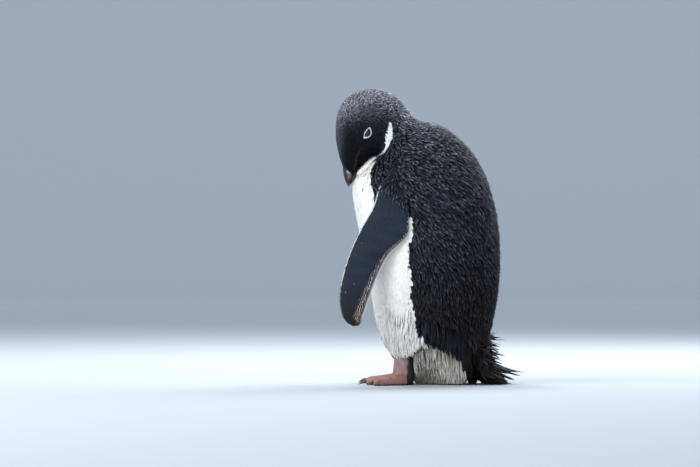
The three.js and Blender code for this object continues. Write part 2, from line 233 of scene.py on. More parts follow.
# The frost column is partly pale frosted tips and partly a painted sheen, strongest on the crown.
COAT = {  # depth; vane length, width; tousle and sweep to the back in degrees; frost
    "under_vent": (2, 10, 2.6, 14, 0, 0),
    "vent": (6, 20, 3.8, 16, 0, 0),
    "rump": (7.5, 20, 4.5, 13, 0, 0.1),
    "legs": (7.5, 18.5, 4.4, 11, 0, 0.1),
    "loin": (7, 16.5, 4.1, 10, 4, 0.12),
    "belly": (6.5, 15, 3.8, 9, 10, 0.12),
    "waist": (6, 14.5, 3.7, 9, 18, 0.12),
    "ribs": (6, 14, 3.6, 9, 24, 0.12),
    "armpit": (6, 13.5, 3.5, 9, 28, 0.14),
    "breast": (6, 12.5, 3.4, 8, 28, 0.16),
    "shoulder": (6, 11, 3.1, 8, 22, 0.2),
    "neck_base": (5.5, 9, 2.7, 8, 12, 0.28),
    "nape_fold": (4.5, 7.6, 2.35, 8, 0, 0.36),
    "occiput": (4, 6.3, 2.0, 8, 0, 0.8),
    "crown": (3, 5.2, 1.7, 7, 0, 1.0),
    "brow": (2.4, 4.5, 1.55, 6, 0, 1.0),
    "forehead": (2, 4, 1.4, 5, 0, 0.6),
    "lore": (1.6, 3.2, 1.25, 4, 0, 0.4),
    "cheek_front": (1.3, 2.8, 1.15, 3, 0, 0.25),
    "bill_base": (1, 2.3, 1, 3, 0, 0),
    "feathers_end": (0.8, 1.9, 0.9, 3, 0, 0),
}


def station(name):
    """Where a named section lies along the body, from 0 at the vent to 1 at the bill."""
    return list(BODY).index(name) / (len(BODY) - 1)


def spline(rows, t):
    """Catmull-Rom curve through rows: t from 0 to 1 runs from the first to the last, and
    each end's slope comes from a row mirrored past it."""
    ends = np.vstack([2 * rows[0] - rows[1], rows, 2 * rows[-1] - rows[-2]])
    place = np.clip(t, 0, 1) * (len(rows) - 1)
    first = np.minimum(place.astype(int), len(rows) - 2)
    w = (place - first)[..., None]
    a, b, c, d = (ends[first + k] for k in range(4))
    curve = 2 * b + (c - a) * w + (2 * a - 5 * b + 4 * c - d) * w**2
    return 0.5 * (curve + (3 * b - a - 3 * c + d) * w**3)


def form(rows):
    """A loft's sections with two full points each: back xyz, front xyz, half width, egg and
    power. Rows that leave out y lie in the middle plane."""
    table = np.array(rows, float)
    if table.shape[1] == 7:
        none = np.zeros(len(table))
        table = np.column_stack([table[:, 0], none, table[:, 1:3], none, table[:, 3:]])
    return table


def section(shape, u, v):
    """A superellipse in the plane of its span and the Y axis: the middle of the span, plus
    the half span times a signed power of cos(turn), plus Y times the half width times a
    signed power of sin(turn); the width shrinks by egg towards the back."""
    row = spline(shape, u)
    back, front = row[..., 0:3], row[..., 3:6]
    half, egg, power = row[..., 6], row[..., 7], row[..., 8]
    turn = 2 * np.pi * v
    along = np.sign(np.cos(turn)) * np.abs(np.cos(turn)) ** (2 / power)
    out = np.sign(np.sin(turn)) * np.abs(np.sin(turn)) ** (2 / power)
    point = (back + front) / 2 + (back - front) / 2 * along[..., None]
    point[..., 1] += half * (1 - egg * along) * out
    return point


def unit(a):
    """Vectors scaled to length one."""
    return a / np.maximum(np.linalg.norm(a, axis=-1, keepdims=True), 1e-9)


def surface(shape, u, v):
    """The form's points, outward normals, and how far a step of u and of v goes there: the
    steps are central differences, and the normal is their cross product."""
    u, v = np.broadcast_arrays(np.asarray(u, float), np.asarray(v, float))
    low, high = np.clip(u - 1e-3, 0, 0.998), np.clip(u + 1e-3, 0.002, 1)
    point = section(shape, np.clip(u, 0, 1), v)
    step_u = (section(shape, high, v) - section(shape, low, v)) / (high - low)[..., None]
    step_v = (section(shape, u, v + 1e-3) - section(shape, u, v - 1e-3)) / 2e-3
    normal = unit(np.cross(step_v, step_u))
    row = spline(shape, u)
    inside = np.sum(normal * (point - (row[..., 0:3] + row[..., 3:6]) / 2)) < 0
    return point, -normal if inside else normal, step_u, step_v


def closed_tube(points):
    """Points and faces of a closed skin over a grid of rings: four-cornered between the
    rings, and a fan round the middle of the first and of the last; turned round if the
    volume that they enclose would come out negative."""
    rings, around = points.shape[:2]
    ring = np.arange(around)
    first, last = rings * around, rings * around + 1
    start = np.stack([np.full(around, first), (ring + 1) % around, ring], -1)
    rim = (rings - 1) * around
    end = np.stack([np.full(around, last), rim + ring, rim + (ring + 1) % around], -1)
    every = np.vstack([points.reshape(-1, 3), points[0].mean(0), points[-1].mean(0)])
    quads, fans = grid_quads(rings, around, True), np.vstack([start, end])
    a, b, c = (every[quads[:, k]] for k in range(3))
    outwards = np.sum((a - every.mean(0)) * np.cross(b - a, c - a)) > 0
    return every, [quads, fans] if outwards else [quads[:, ::-1], fans[:, ::-1]]


def spread_over(shape, rings, around):
    """A form's points and outward normals, in even rings from its first end to its last."""
    turn = np.arange(around) / around
    return surface(shape, np.linspace(0, 1, rings)[:, None], turn[None])[:2]


def lofted(name, shape, rings, around, depth=0.0):
    """A closed loft as an object, sunk along its normals by depth, one value or one a ring."""
    point, normal = spread_over(shape, rings, around)
    return put_mesh(name, *closed_tube(point - normal * np.reshape(depth, (-1, 1, 1))))


def applied(piece, kind, **settings):
    """The piece with one modifier of that kind made real in its mesh."""
    modifier = piece.modifiers.new(kind.lower(), kind)
    for key, value in settings.items():
        setattr(modifier, key, value)
    depsgraph = bpy.context.evaluated_depsgraph_get()
    mesh = bpy.data.meshes.new_from_object(piece.evaluated_get(depsgraph))
    piece.modifiers.clear()
    piece.data = mesh
    return piece


def united(piece, others):
    """One closed skin round the piece and all the others, which are used up."""
    for other in others:
        applied(piece, "BOOLEAN", operation="UNION", solver="MANIFOLD", object=other)
        bpy.data.objects.remove(other)
    return piece


def depth_inside(outer, points, limit):
    """How deep each point lies inside a form, in mm, negative outside: its offset from the
    nearest of the form's points, measured along that point's normal. What is further off
    than the limit is outside. The form comes as the points and normals spread over it."""
    place, normal = (part.reshape(-1, 3) for part in outer)
    nearest = KDTree(len(place))
    for k, spot in enumerate(place.tolist()):
        nearest.insert(spot, k)
    nearest.balance()
    found = [nearest.find(point)[1:] for point in points.tolist()]
    index, away = np.array(found).T
    index = index.astype(int)
    depth = -np.sum((points - place[index]) * normal[index], axis=-1)
    return np.where(away > limit, -away, depth)


body = form(list(BODY.values()))
coat_rows = np.array(list(COAT.values()), float)
RINGS, AROUND = 150, 96  # of the skin's loft
body_skin = lofted("skin", body, RINGS, AROUND, spline(coat_rows[:, :1], np.linspace(0, 1, RINGS)))

# ---------------------------------------------------------------- flippers
# The flippers are stiff flat blades of bone and skin, held at the shoulder and hanging
# forwards past the belly. Each is lofted from root to tip through ovals that span it from
# its leading to its trailing edge and are thickest towards the leading one.

FLIPPER = [  # leading edge x, y, z; trailing edge x, y, z; half thickness; egg; power
    (-70, 60, 338, -34, 66, 312, 5, 0, 2),
    (-84, 68, 312, -38, 82, 292, 6.5, -0.3, 2),
    (-93, 72, 283, -37.5, 91, 262, 7, -0.35, 2),
    (-114, 77, 245, -41, 92.5, 237, 6.5, -0.35, 2),
    (-130, 81, 210, -68, 90, 210, 5.6, -0.35, 2),
    (-140.5, 84, 177, -86, 89.5, 178, 4.8, -0.35, 2),
    (-145.8, 86.5, 146, -98.5, 89.5, 146, 4, -0.3, 2),
    (-143.5, 88, 117, -108.5, 90, 117, 3.2, -0.25, 2),
    (-136, 89, 102, -114.5, 90, 101.5, 2.5, -0.2, 2),
    (-125.5, 89.5, 95.2, -122, 89.5, 95, 1.4, 0, 2),
]
FLIPPER_COAT = 0.9
FLIPPER_REACH, BODY_REACH = 12, 60  # more than anything lies inside a flipper or the body
SIDES = {"left": -1, "right": 1}


def sided(rows, sign):
    """The form for the left side, where the sign is -1, or the right one, where it is 1."""
    return form(rows) * [1, sign, 1, 1, sign, 1, 1, 1, 1]


flippers = {side: sided(FLIPPER, sign) for side, sign in SIDES.items()}
flipper_outer = {side: spread_over(shape, 160, 48) for side, shape in flippers.items()}
flipper_skins = [lofted("flipper_" + side, shape, 90, 40, FLIPPER_COAT) for side, shape in flippers.items()]

# ---------------------------------------------------------------- legs and webbed feet
# Short thick shanks and flat feet in bare scaly skin: three toes in front joined by a web,
# and a small hind toe turned inwards. Shank, toes and web are fused into one skin.

LEG_Y = 34
ANKLE_X = -46
SHANK = [  # front x, y, z; rear x, y, z; half width; egg; power
    (-30, LEG_Y, 1, -60, LEG_Y, 1, 9, 0, 2),
    (-27.5, LEG_Y, 7, -62, LEG_Y, 5, 12.5, 0, 2.2),
    (-27, LEG_Y, 22, -60, LEG_Y, 26, 12, 0, 2.2),
    (-26.5, LEG_Y, 44, -58.5, LEG_Y, 46, 12.5, 0, 2.2),
    (-24, LEG_Y, 70, -60, LEG_Y, 76, 16, 0, 2.2),
]
TOES = {  # turn outwards in degrees, length, claw length, share of the full thickness
    "inner": (-20, 50, 12, 1.0),
    "middle": (3, 58, 13, 1.0),
    "outer": (27, 52, 12, 1.0),
    "hind": (-78, 24, 8, 0.55),
}
WEB_REACH = [43, 50, 45]  # along the inner, middle and outer toe


def toe_rows(length):
    """A toe along -X: it arches down from the instep, swells at its pads and ends round."""
    shares = np.array([-8 / length, 0.2, 0.36, 0.5, 0.66, 0.8, 0.97, 1.02])
    top = np.array([18, 17, 14.6, 13.9, 11.6, 11.8, 8.6, 4.6])
    low = np.array([0, 0, 0, 0, 0, 0, 0.4, 3.0])
    half = np.array([7, 8, 7.2, 7.2, 6.2, 6.5, 4.8, 1.6])
    x, none = -shares * length, np.zeros(len(shares))
    return np.column_stack([x, none, top, x, none, low, half, none, none + 2.3])


def from_ankle(shape, turn, slim, sign):
    """A form along -X, slimmed and turned outwards about the ankle of one side."""
    placed = shape.copy()
    angle = np.radians(-turn)
    for first in (0, 3):
        x, y, z = placed[:, first], placed[:, first + 1] * slim, placed[:, first + 2] * slim
        placed[:, first] = ANKLE_X + x * np.cos(angle) - y * np.sin(angle)
        placed[:, first + 1] = sign * (LEG_Y + x * np.sin(angle) + y * np.cos(angle))
        placed[:, first + 2] = z
    placed[:, 6] *= slim
    return placed


def web_points(sign):
    """A thin sheet between the front toes: a fan of rays from the ankle, hollowed between
    the toes' tips by a sine, and thinner towards the edge."""
    inner, middle, outer = (TOES[toe][0] for toe in ("inner", "middle", "outer"))
    ray = np.linspace(inner, outer, 61)
    reach = np.interp(ray, [inner, middle, outer], WEB_REACH)
    gaps = [inner, (inner + middle) / 2, middle, (middle + outer) / 2, outer]
    between = np.interp(ray, gaps, [0, 1, 0, 1, 0])
    reach = reach * (1 - 0.17 * np.sin(np.pi / 2 * between))
    out = np.linspace(0.02, 1, 30)[:, None]
    x = ANKLE_X - out * reach * np.cos(np.radians(ray))
    y = sign * (LEG_Y + out * reach * np.sin(np.radians(ray)))
    thick = (4.4 - 2.2 * out) * (1 - 0.45 * between)
    upper = np.stack([x, y, thick], -1)
    lower = np.stack([x, y, 0 * x + 0.15], -1)
    return np.concatenate([upper, lower[:, ::-1]], axis=1)


limbs = []
for side, sign in SIDES.items():
    parts = [lofted("shank", sided(SHANK, sign), 40, 32)]
    parts.append(put_mesh("web", *closed_tube(web_points(sign))))
    for turn, length, _, slim in TOES.values():
        parts.append(lofted("toe", from_ankle(toe_rows(length), turn, slim, sign), 40, 24))
    limb = united(parts[0], parts[1:])
    applied(limb, "REMESH", mode="VOXEL", voxel_size=0.9 * MM)
    limbs.append(applied(limb, "SMOOTH", factor=0.5, iterations=6))

# ---------------------------------------------------------------- tail root and eyelids
# The tail's fleshy root widens from the rump to the floor. The lids are a white almond-shaped
# bead round each eye, pointed at both corners; the bead hugs the ball and meets the coat.

TAIL_ROOT = [  # upper x, z; lower x, z; half width; egg; power
    (74, 93, 38, 62, 21, 0, 2),
    (88, 79, 44, 44, 35, 0, 2),
    (93, 62, 57, 26, 41, 0, 2),
    (98, 44, 76, 8, 44, 0, 2),
    (105, 26, 92, 1.5, 43, 0, 2),
    (113, 12, 104, 1.5, 34, 0, 2),
    (119, 4, 114, 1.5, 12, 0, 2),
]
EYE = np.array([-101, 29.9, 401.5])
EYE_RADIUS = 7.5
LID_FRONT, LID_BACK = np.array([-107.6, 392.0]), np.array([-98.2, 409.8])  # the corners' x, z
LID_BULGE = {"outer": (7.7, 3.3), "inner": (6.15, 2.0)}  # behind and before the line of the corners
LID_LENGTH = {"outer": 1.0, "inner": 0.8}
LID_POINT = 1.55  # the power that points the corners
LID_BEAD = 0.75  # how high the bead stands
LID_MIDDLE, LID_HALF = (LID_FRONT + LID_BACK) / 2, (LID_BACK - LID_FRONT) / 2
LID_ACROSS = np.array([LID_HALF[1], -LID_HALF[0]]) / np.hypot(*LID_HALF)

tail_root = form(TAIL_ROOT)
tail_skin = lofted("tail_root", tail_root, 40, 48, 3.0)


def almond(turn, edge):
    """The x and z of a lid's edge: along the line of the corners as a cosine, and off it as
    a sine raised to a power that points the corners; it bulges more behind than before."""
    behind, before = LID_BULGE[edge]
    sine = np.sin(turn)
    bulge = np.where(sine > 0, behind, before) * np.sign(sine) * np.abs(sine) ** LID_POINT
    along = LID_HALF * LID_LENGTH[edge] * np.cos(turn)[..., None]
    return LID_MIDDLE + along + LID_ACROSS * bulge[..., None]


def lid(sign):
    """A closed ring from the ball, over a bead, down into the coat and back under itself: its
    height goes from the ball's to the coat's as a power of the way, plus a sine's power."""
    turn = np.linspace(0, 2 * np.pi, 72, endpoint=False)
    share = np.array([0, 0.08, 0.25, 0.5, 0.75, 0.92, 1.0])[:, None]
    edge = almond(turn, "inner") * (1 - share[..., None]) + almond(turn, "outer") * share[..., None]
    off = edge - EYE[[0, 2]]
    ball = EYE[1] + np.sqrt(np.maximum(EYE_RADIUS**2 - np.sum(off**2, -1), 4))
    coat = [
        abs(body_tree.ray_cast((x, sign * 200, z), (0, -sign, 0))[0][1])
        for x, z in edge.reshape(-1, 2).tolist()
    ]
    coat = np.reshape(coat, edge.shape[:2])
    blend = share**1.5
    y = np.maximum(ball + 0.1, coat - 0.4) * (1 - blend) + (coat - 0.3) * blend
    y += LID_BEAD * np.sin(np.pi * np.clip(share, 0.04, 1)) ** 0.6
    top = np.stack([edge[..., 0], sign * y, edge[..., 1]], -1)
    under = np.stack([edge[[-1, 0], :, 0], sign * (y[[-1, 0]] - 4), edge[[-1, 0], :, 1]], -1)
    ring = np.concatenate([top, under, top[:1]])
    faces = grid_quads(len(ring), len(turn), True)
    faces[faces >= (len(ring) - 1) * len(turn)] -= (len(ring) - 1) * len(turn)
    return put_mesh("lid", ring[:-1].reshape(-1, 3), [faces if sign < 0 else faces[:, ::-1]])


points, faces = closed_tube(spread_over(body, 120, 72)[0])
body_tree = BVHTree.FromPolygons(points.tolist(), [face for group in faces for face in group.tolist()])
lids = [lid(sign) for sign in SIDES.values()]
skin = united(body_skin, flipper_skins + limbs + [tail_skin] + lids)
skin.data.polygons.foreach_set("use_smooth", np.full(len(skin.data.polygons), True))

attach(skin, "root")
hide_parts("trunk", "neck", "head", *(p + s for s in SIDES for p in ("flipper_", "leg_", "foot_")))

# ---------------------------------------------------------------- markings
# Black above and white below, as a penguin wears them: the border runs down the side of the
# neck, under the flipper, along the flank and back over the hip to the tail. A white crescent
# lies between the cheek and the neck. Skin and coat take their colour from the same function.

BORDER = [  # height, and the x behind which the plumage is black
    (-20, 68), (1.6, 65.6), (19.2, 61.5), (34.4, 53.5), (47.8, 36.5), (57.9, 18.1), (64.6, 1.3),
    (74.7, -16.9), (91.5, -30), (115, -32), (139, -37.5), (162, -36.5), (189, -40),
    (223, -42), (236, -36.5), (260, -34), (280, -44.5), (285, -73.6), (289, -95.5),
    (308, -96.2), (325, -99.7), (338, -97.6), (354, -91.8), (365, -86.2),
]
CRESCENT = [  # x, z, half width
    (-65.8, 415.5, 0.6), (-66.2, 406, 3.0), (-67.4, 395.8, 3.3), (-70, 383, 1.8),
    (-73.2, 374, 0.3), (-78, 369.6, -0.5), (-83.4, 366.2, -0.7), (-88.5, 362.2, 0.0),
]
GAPE = [  # x, z, half width
    (-123.4, 330.7, 1.6), (-122.6, 343.5, 1.6), (-120.5, 357.8, 1.5), (-116.2, 369.3, 1.1),
    (-112, 376.3, 0.4),
]
JAW_FOLD = [  # x, and the height over which the skin belongs to the head
    (-130, 324), (-124, 333), (-118, 338.5), (-110, 345), (-100, 353), (-90, 361), (10, 461),
]
# BLACK_ROOT is near black: partly the feathers' dark bases, partly painted shade where the vanes lie over
# each other.
BLACK_ROOT, BLACK_TIP = linear(2, 3, 5), linear(64, 76, 98)
# The pale bluish tips of the black vanes: partly their own frosting, partly a painted sheen of the light
# from above and behind.
FROST_AND_SHEEN = linear(222, 228, 242)
WHITE_ROOT, WHITE_TIP, BELLY_GREY = linear(226, 225, 223), linear(229, 228, 225), linear(212, 211, 208)
VENT_ROOT, VENT_TIP = linear(120, 116, 100), linear(186, 184, 166)
SLATE, SLATE_TIP = linear(34, 43, 57), linear(30, 27, 30)
# DARK_SKIN is near black: partly the skin's own dark colour, partly painted shade for the gaps between the
# black vanes.
DARK_SKIN, WHITE_SKIN = linear(8, 9, 12), linear(196, 194, 190)
FLIPPER_SKIN, LID_WHITE = linear(150, 152, 155), linear(226, 229, 233)
BARE_PINK, BARE_VIOLET, BARE_SOLE = linear(166, 124, 114), linear(164, 134, 138), linear(38, 32, 32)


def read_off(table, place):
    """The second column of a table at places in its first one, by straight lines between."""
    return np.interp(place, *np.transpose(table))


def above(line, points):
    """How far points lie over a line of x and z, seen from the side."""
    return points[:, 2] - read_off(line, points[:, 0])


def off_line(points, line):
    """How far points lie outside a band along a line, seen from the side, in mm: the least,
    over its pieces, of the distance to the piece less its half width there."""
    line = np.array(line, float)
    a, b = line[:-1], line[1:]
    step = (b - a)[:, :2]
    flat = points[:, None, [0, 2]] - a[:, :2]
    share = np.clip(np.sum(flat * step, -1) / np.sum(step**2, -1), 0, 1)
    away = np.linalg.norm(flat - share[..., None] * step, axis=-1)
    return np.min(away - (a[:, 2] + share * (b - a)[:, 2]), axis=1)


def wobble(points, size, seed):
    """A smooth uneven field of about -1 to 1: a third of the sum of six waves, each with a
    chance direction, start and length near the size."""
    dice = np.random.default_rng(seed)
    waves = dice.normal(size=(6, 3))
    waves = waves / np.linalg.norm(waves, axis=1)[:, None] * dice.uniform(0.6, 1.7, (6, 1)) / size
    return np.sin(points @ waves.T * 2 * np.pi + dice.uniform(0, 6.3, 6)).sum(-1) / 3


def smooth(low, high, value):
    """A soft step from 0 at low to 1 at high."""
    t = np.clip((value - low) / (high - low), 0, 1)
    return t * t * (3 - 2 * t)


def mixed(a, b, share):
    """Colours a and b mixed: a share of b for each row."""
    share = np.reshape(share, (-1, 1))
    return a * (1 - share) + b * share


def eye_gap(points):
    """How far points lie outside the almond of the lids, seen from the side, in mm: the
    almond is a band that bows backwards and is widest between the corners."""
    bow = LID_MIDDLE + [2.2, -1.1]
    return off_line(points, [(*LID_FRONT, 0.1), (*bow, 6.2), (*LID_BACK, 0.1)])


def past_lid(points):
    """How far points lie outside the lid's outer edge, across the line of its corners, in mm,
    and growing fast past the corners."""
    flat = points[:, [0, 2]] - LID_MIDDLE
    along = flat @ LID_HALF / np.sum(LID_HALF**2)
    off = flat @ LID_ACROSS
    bulge = np.where(off > 0, *LID_BULGE["outer"])
    edge = bulge * np.maximum(1 - along**2, 0) ** (LID_POINT / 2)
    return np.abs(off) - edge + 40 * np.maximum(np.abs(along) - 1, 0)


def whiteness(points, u):
    """1 where the plumage is white: before the border below the jaw, and on the crescent."""
    edge = read_off(BORDER, points[:, 2]) + 2.5 * wobble(points, 14, 5)
    front = smooth(0.6, -0.6, points[:, 0] - edge) * (u < station("nape_fold") + 0.004)
    return np.maximum(front, smooth(1.6, 0.6, off_line(points, CRESCENT)))


def points_of(piece):
    """A piece's points, in mm."""
    found = np.zeros(len(piece.data.vertices) * 3, np.float32)
    piece.data.vertices.foreach_get("co", found)
    return found.reshape(-1, 3).astype(float) / MM


def corner_points(piece):
    """The number of the point at each face corner of a piece."""
    found = np.zeros(len(piece.data.loops), np.int32)
    piece.data.loops.foreach_get("vertex_index", found)
    return found


def mark(piece, domain, colours):
    """Gives every point or face corner of a piece the colour that its material reads."""
    marking = piece.data.color_attributes.new("marking", "FLOAT_COLOR", domain)
    every = np.column_stack([colours, np.ones(len(colours))])
    marking.data.foreach_set("color", every.ravel().astype(np.float32))


spots = points_of(skin)
on_head = above(JAW_FOLD, spots) > 0
skin_tone = mixed(DARK_SKIN, WHITE_SKIN, whiteness(spots, on_head))

# The legs are pink below and violet above, and blackish behind and on the soles.
on_leg = (spots[:, 0] < -22) & (spots[:, 2] < 56)
rear = smooth(-41.5, -36, spots[:, 0] + 1.5 * wobble(spots, 14, 8)) * smooth(58, 40, spots[:, 2])
sole = smooth(2.8, 1.0, spots[:, 2] + 0.6 * wobble(spots, 9, 9))
blotch = 0.5 + 0.5 * wobble(spots, 7, 17)
bare = mixed(BARE_VIOLET, BARE_PINK, smooth(30, 14, spots[:, 2])) * (0.78 + 0.3 * blotch)[:, None]
skin_tone[on_leg] = mixed(bare, BARE_SOLE, np.maximum(rear, sole))[on_leg]

# The flippers are slate outside the plane from the leading to the trailing edge, pale inside.
lead, trail = np.array(FLIPPER)[::-1, 0:3], np.array(FLIPPER)[::-1, 3:6]
x0, y0 = (np.interp(spots[:, 2], lead[:, 2], lead[:, axis]) for axis in (0, 1))
x1, y1 = (np.interp(spots[:, 2], trail[:, 2], trail[:, axis]) for axis in (0, 1))
chord_y = y0 + (y1 - y0) * np.clip((spots[:, 0] - x0) / (x1 - x0), 0, 1)
for side, sign in SIDES.items():
    on_blade = depth_inside(flipper_outer[side], spots, FLIPPER_REACH) > -0.5
    outer = (spots[:, 1] * sign > chord_y) | (spots[:, 2] > 285)
    skin_tone[on_blade] = FLIPPER_SKIN
    skin_tone[on_blade & outer] = SLATE * 0.6

# The lids are white by whole faces, so that their rims stay sharp.
corner_point = corner_points(skin)
corners_of_face = np.zeros(len(skin.data.polygons), np.int32)
skin.data.polygons.foreach_get("loop_total", corners_of_face)
face_start = np.concatenate([[0], np.cumsum(corners_of_face)[:-1]])
on_lid = np.minimum.reduceat((past_lid(spots) < 0.05)[corner_point].astype(int), face_start) > 0
corner_tone = skin_tone[corner_point]
corner_tone[np.repeat(on_lid, corners_of_face)] = LID_WHITE
mark(skin, "CORNER", corner_tone)

hide, shader, place = material("bare_skin", Roughness=0.5, Specular_IOR_Level=0.4)
colour = place.node("ShaderNodeAttribute", attribute_name="marking")
scales = place.node("ShaderNodeTexVoronoi", {"Vector": place, "Scale": 780.0}, feature="DISTANCE_TO_EDGE")
tone = colour.tinted(place.noise(60.0, 3.0) * 0.5, (0.30, 0.16, 0.15))
feed(shader, Base_Color=tone, Normal=scales.math("MINIMUM", 0.12).bump(0.4, 0.002))
skin.data.materials.clear()
skin.data.materials.append(hide)

# ---------------------------------------------------------------- the coat's vanes
# Each feather shows as one stiff, narrow vane with a raised shaft, rooted in the skin under
# the vane before it and lying back along the body. Vanes stand in staggered rows.

BLADE = ((0.2, 0.66), (0.45, 1.0), (0.72, 0.86), (0.9, 0.46))  # share of length, of width
dice = np.random.default_rng(7)


def roots(shape, low, high, along, across):
    """Staggered rows of roots on a form between two shares of its length. Rows are as far
    apart as along says on the form's longest side, and thinned where they crowd; in a row,
    roots are spaced by arc length. along and across are functions of u, in mm."""
    fine, turn = np.linspace(low, high, 500), np.linspace(0, 1, 145)
    _, _, step_u, step_v = surface(shape, fine[:, None], turn[None])
    rate_u, rate_v = np.linalg.norm(step_u, axis=-1), np.linalg.norm(step_v, axis=-1)
    longest = rate_u.max(1)
    count = np.concatenate([[0], np.cumsum((longest / along(fine))[:-1] * np.diff(fine))])
    rows = np.interp(np.arange(0.5, count[-1]), count, fine)
    every_u, every_v, keep = [], [], []
    for k, row in enumerate(rows):
        nearest = np.searchsorted(fine, row) - 1
        round_it = np.concatenate([[0], np.cumsum(rate_v[nearest, :-1] * np.diff(turn))])
        number = max(6, int(round(round_it[-1] / across(row))))
        spot = (np.arange(number) + 0.5 * (k % 2) + dice.uniform(-0.22, 0.22, number)) / number
        v = np.interp(spot % 1 * round_it[-1], round_it, turn)
        every_u.append(row + dice.uniform(-0.25, 0.25, number) * along(row) / longest[nearest])
        every_v.append(v)
        keep.append(np.interp(v, turn, rate_u[nearest] / longest[nearest]))
    u, v, keep = map(np.concatenate, (every_u, every_v, keep))
    kept = dice.uniform(size=len(u)) < np.maximum(keep, 0.2)
    return np.clip(u[kept], low, high), v[kept]


def leaves(spot, up, width, wide, roll, cup=0.25, crest=0.12):
    """Corner points of one leaf a path: a row has a left, a shaft and a right point, half the
    width apart across the path; the shaft stands up by the crest's share of that, and the
    sides droop by the cup's."""
    ahead = np.gradient(spot, axis=1)
    side = unit(np.cross(up, ahead))
    up = unit(up + side * np.reshape(roll, (-1, 1, 1)))
    side = unit(np.cross(up, ahead))
    half = (width[:, None] / 2 * wide)[..., None]
    cup, crest = np.reshape(cup, (-1, 1, 1)), np.reshape(crest, (-1, 1, 1))
    left = spot - (side + cup * up) * half
    right = spot + (side - cup * up) * half
    shaft = spot + up * (crest * half + 0.08)
    rows = np.stack([left, shaft, right], 2)[:, 1:-1].reshape(len(spot), -1, 3)
    return np.concatenate([spot[:, :1], rows, spot[:, -1:]], 1)


def from_root(blade):
    """A blade's shares of the length and of the width with those of its root and tip."""
    return np.array([(0, 0), *blade, (1, 0)], float).T


def vanes(
    shape, u, v, length, width, sink, rise, toward, yaw,
    blade=BLADE, cling=1.0, roll=0.0, quick=2.0, **looks,
):
    """Corner points of one vane a root, and the rows' shares of its length. Each runs from
    its root along the form, turned by yaw, past the form's end straight on, and where cling
    is less than 1 it keeps only that share of the form's bend. Its height goes from sink
    under the surface, as the power quick of what is left, to rise over it, as the square of
    what is done."""
    s, wide = from_root(blade)
    root, _, step_u, step_v = surface(shape, u, v)
    reach = length[:, None] * s
    rate_u = np.linalg.norm(step_u, axis=-1)[:, None]
    rate_v = np.maximum(np.linalg.norm(step_v, axis=-1)[:, None], 15)
    to_u = u[:, None] + toward * reach * np.cos(yaw)[:, None] / rate_u
    to_v = v[:, None] + reach * np.sin(yaw)[:, None] / rate_v
    spot, up, step_u, _ = surface(shape, to_u, to_v)
    spot = spot + step_u * (to_u - np.clip(to_u, 0, 1))[..., None]
    ahead = unit(spot[:, 1] - spot[:, 0])[:, None]
    cling = np.reshape(cling, (-1, 1, 1))
    spot = spot * cling + (root[:, None] + ahead * reach[..., None]) * (1 - cling)
    height = rise[:, None] * s**2 - sink[:, None] * (1 - s) ** np.reshape(quick, (-1, 1))
    return leaves(spot + up * height[..., None], up, width, wide, roll, **looks), s


def vane_faces(rows):
    """Triangles and quads of one vane, facing out: a fan at the root, three sides between
    neighbouring rows, and a fan at the tip."""
    last = 3 * rows + 1
    ends = [(0, 1, 2), (0, 2, 3), (0, 3, 1)]
    ends += [(last - 3, last, last - 2), (last - 2, last, last - 1), (last - 1, last, last - 3)]
    sides = []
    for row in range(rows - 1):
        a = 1 + 3 * row
        sides += [(a + i, a + i + 3, a + j + 3, a + j) for i, j in ((0, 1), (1, 2), (2, 0))]
    return np.array(ends), np.array(sides)


def each_corner(values):
    """One value a row of a vane given to each of its corners."""
    return np.concatenate([values[:1], np.repeat(values[1:-1], 3), values[-1:]])


def put_vanes(name, corners, s, colour, across_plan, along_plan):
    """Joined vanes as one piece. Each corner gets its colour, its place on the vane in the
    map called vane, and in OFBake a patch 0.003 across at its root's place on the plan, the
    form's own unwrapping, which is stretched to fill the square."""
    count, per = corners.shape[:2]
    rows = (per - 2) // 3
    first = np.arange(count)[:, None, None] * per
    faces = [(part + first).reshape(-1, part.shape[1]) for part in vane_faces(rows)]
    piece = put_mesh(name, corners.reshape(-1, 3), faces, plumage)
    piece.data.set_sharp_from_angle(angle=np.radians(70))
    mark(piece, "POINT", np.broadcast_to(colour, corners.shape).reshape(-1, 3))
    across = np.concatenate([[0.5], np.tile([0.0, 0.5, 1.0], rows), [0.5]])
    local = np.stack([across, each_corner(s)], -1)
    plan = np.stack([across_plan, along_plan], -1)
    low, high = plan.min(0), plan.max(0)
    spread = (0.01 + 0.977 * (plan - low) / (high - low))[:, None] + 0.003 * local
    corner = corner_points(piece)
    for title, values in (("OFBake", spread.reshape(-1, 2)), ("vane", np.tile(local, (count, 1)))):
        layer = piece.data.uv_layers.new(name=title)
        layer.data.foreach_set("uv", values[corner].ravel().astype(np.float32))
    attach(piece, "root")
    return piece


def along_vane(root_colour, edge_colour, shaft_colour, s, power):
    """Colour from the root to the tip as a power of the way: the two sides reach the edge's
    colour, and the shaft and the tip the shaft's. Colours and power are the same for all
    vanes or one each."""
    root_colour, edge_colour, shaft_colour = map(np.atleast_2d, (root_colour, edge_colour, shaft_colour))
    t = each_corner(s)[:, None] ** np.reshape(power, (-1, 1, 1))
    on_shaft = np.concatenate([[0.0], np.tile([0.0, 1.0, 0.0], len(s) - 2), [0.7]])[:, None]
    end = edge_colour[:, None] * (1 - on_shaft) + shaft_colour[:, None] * on_shaft
    return root_colour[:, None] * (1 - t) + end * t


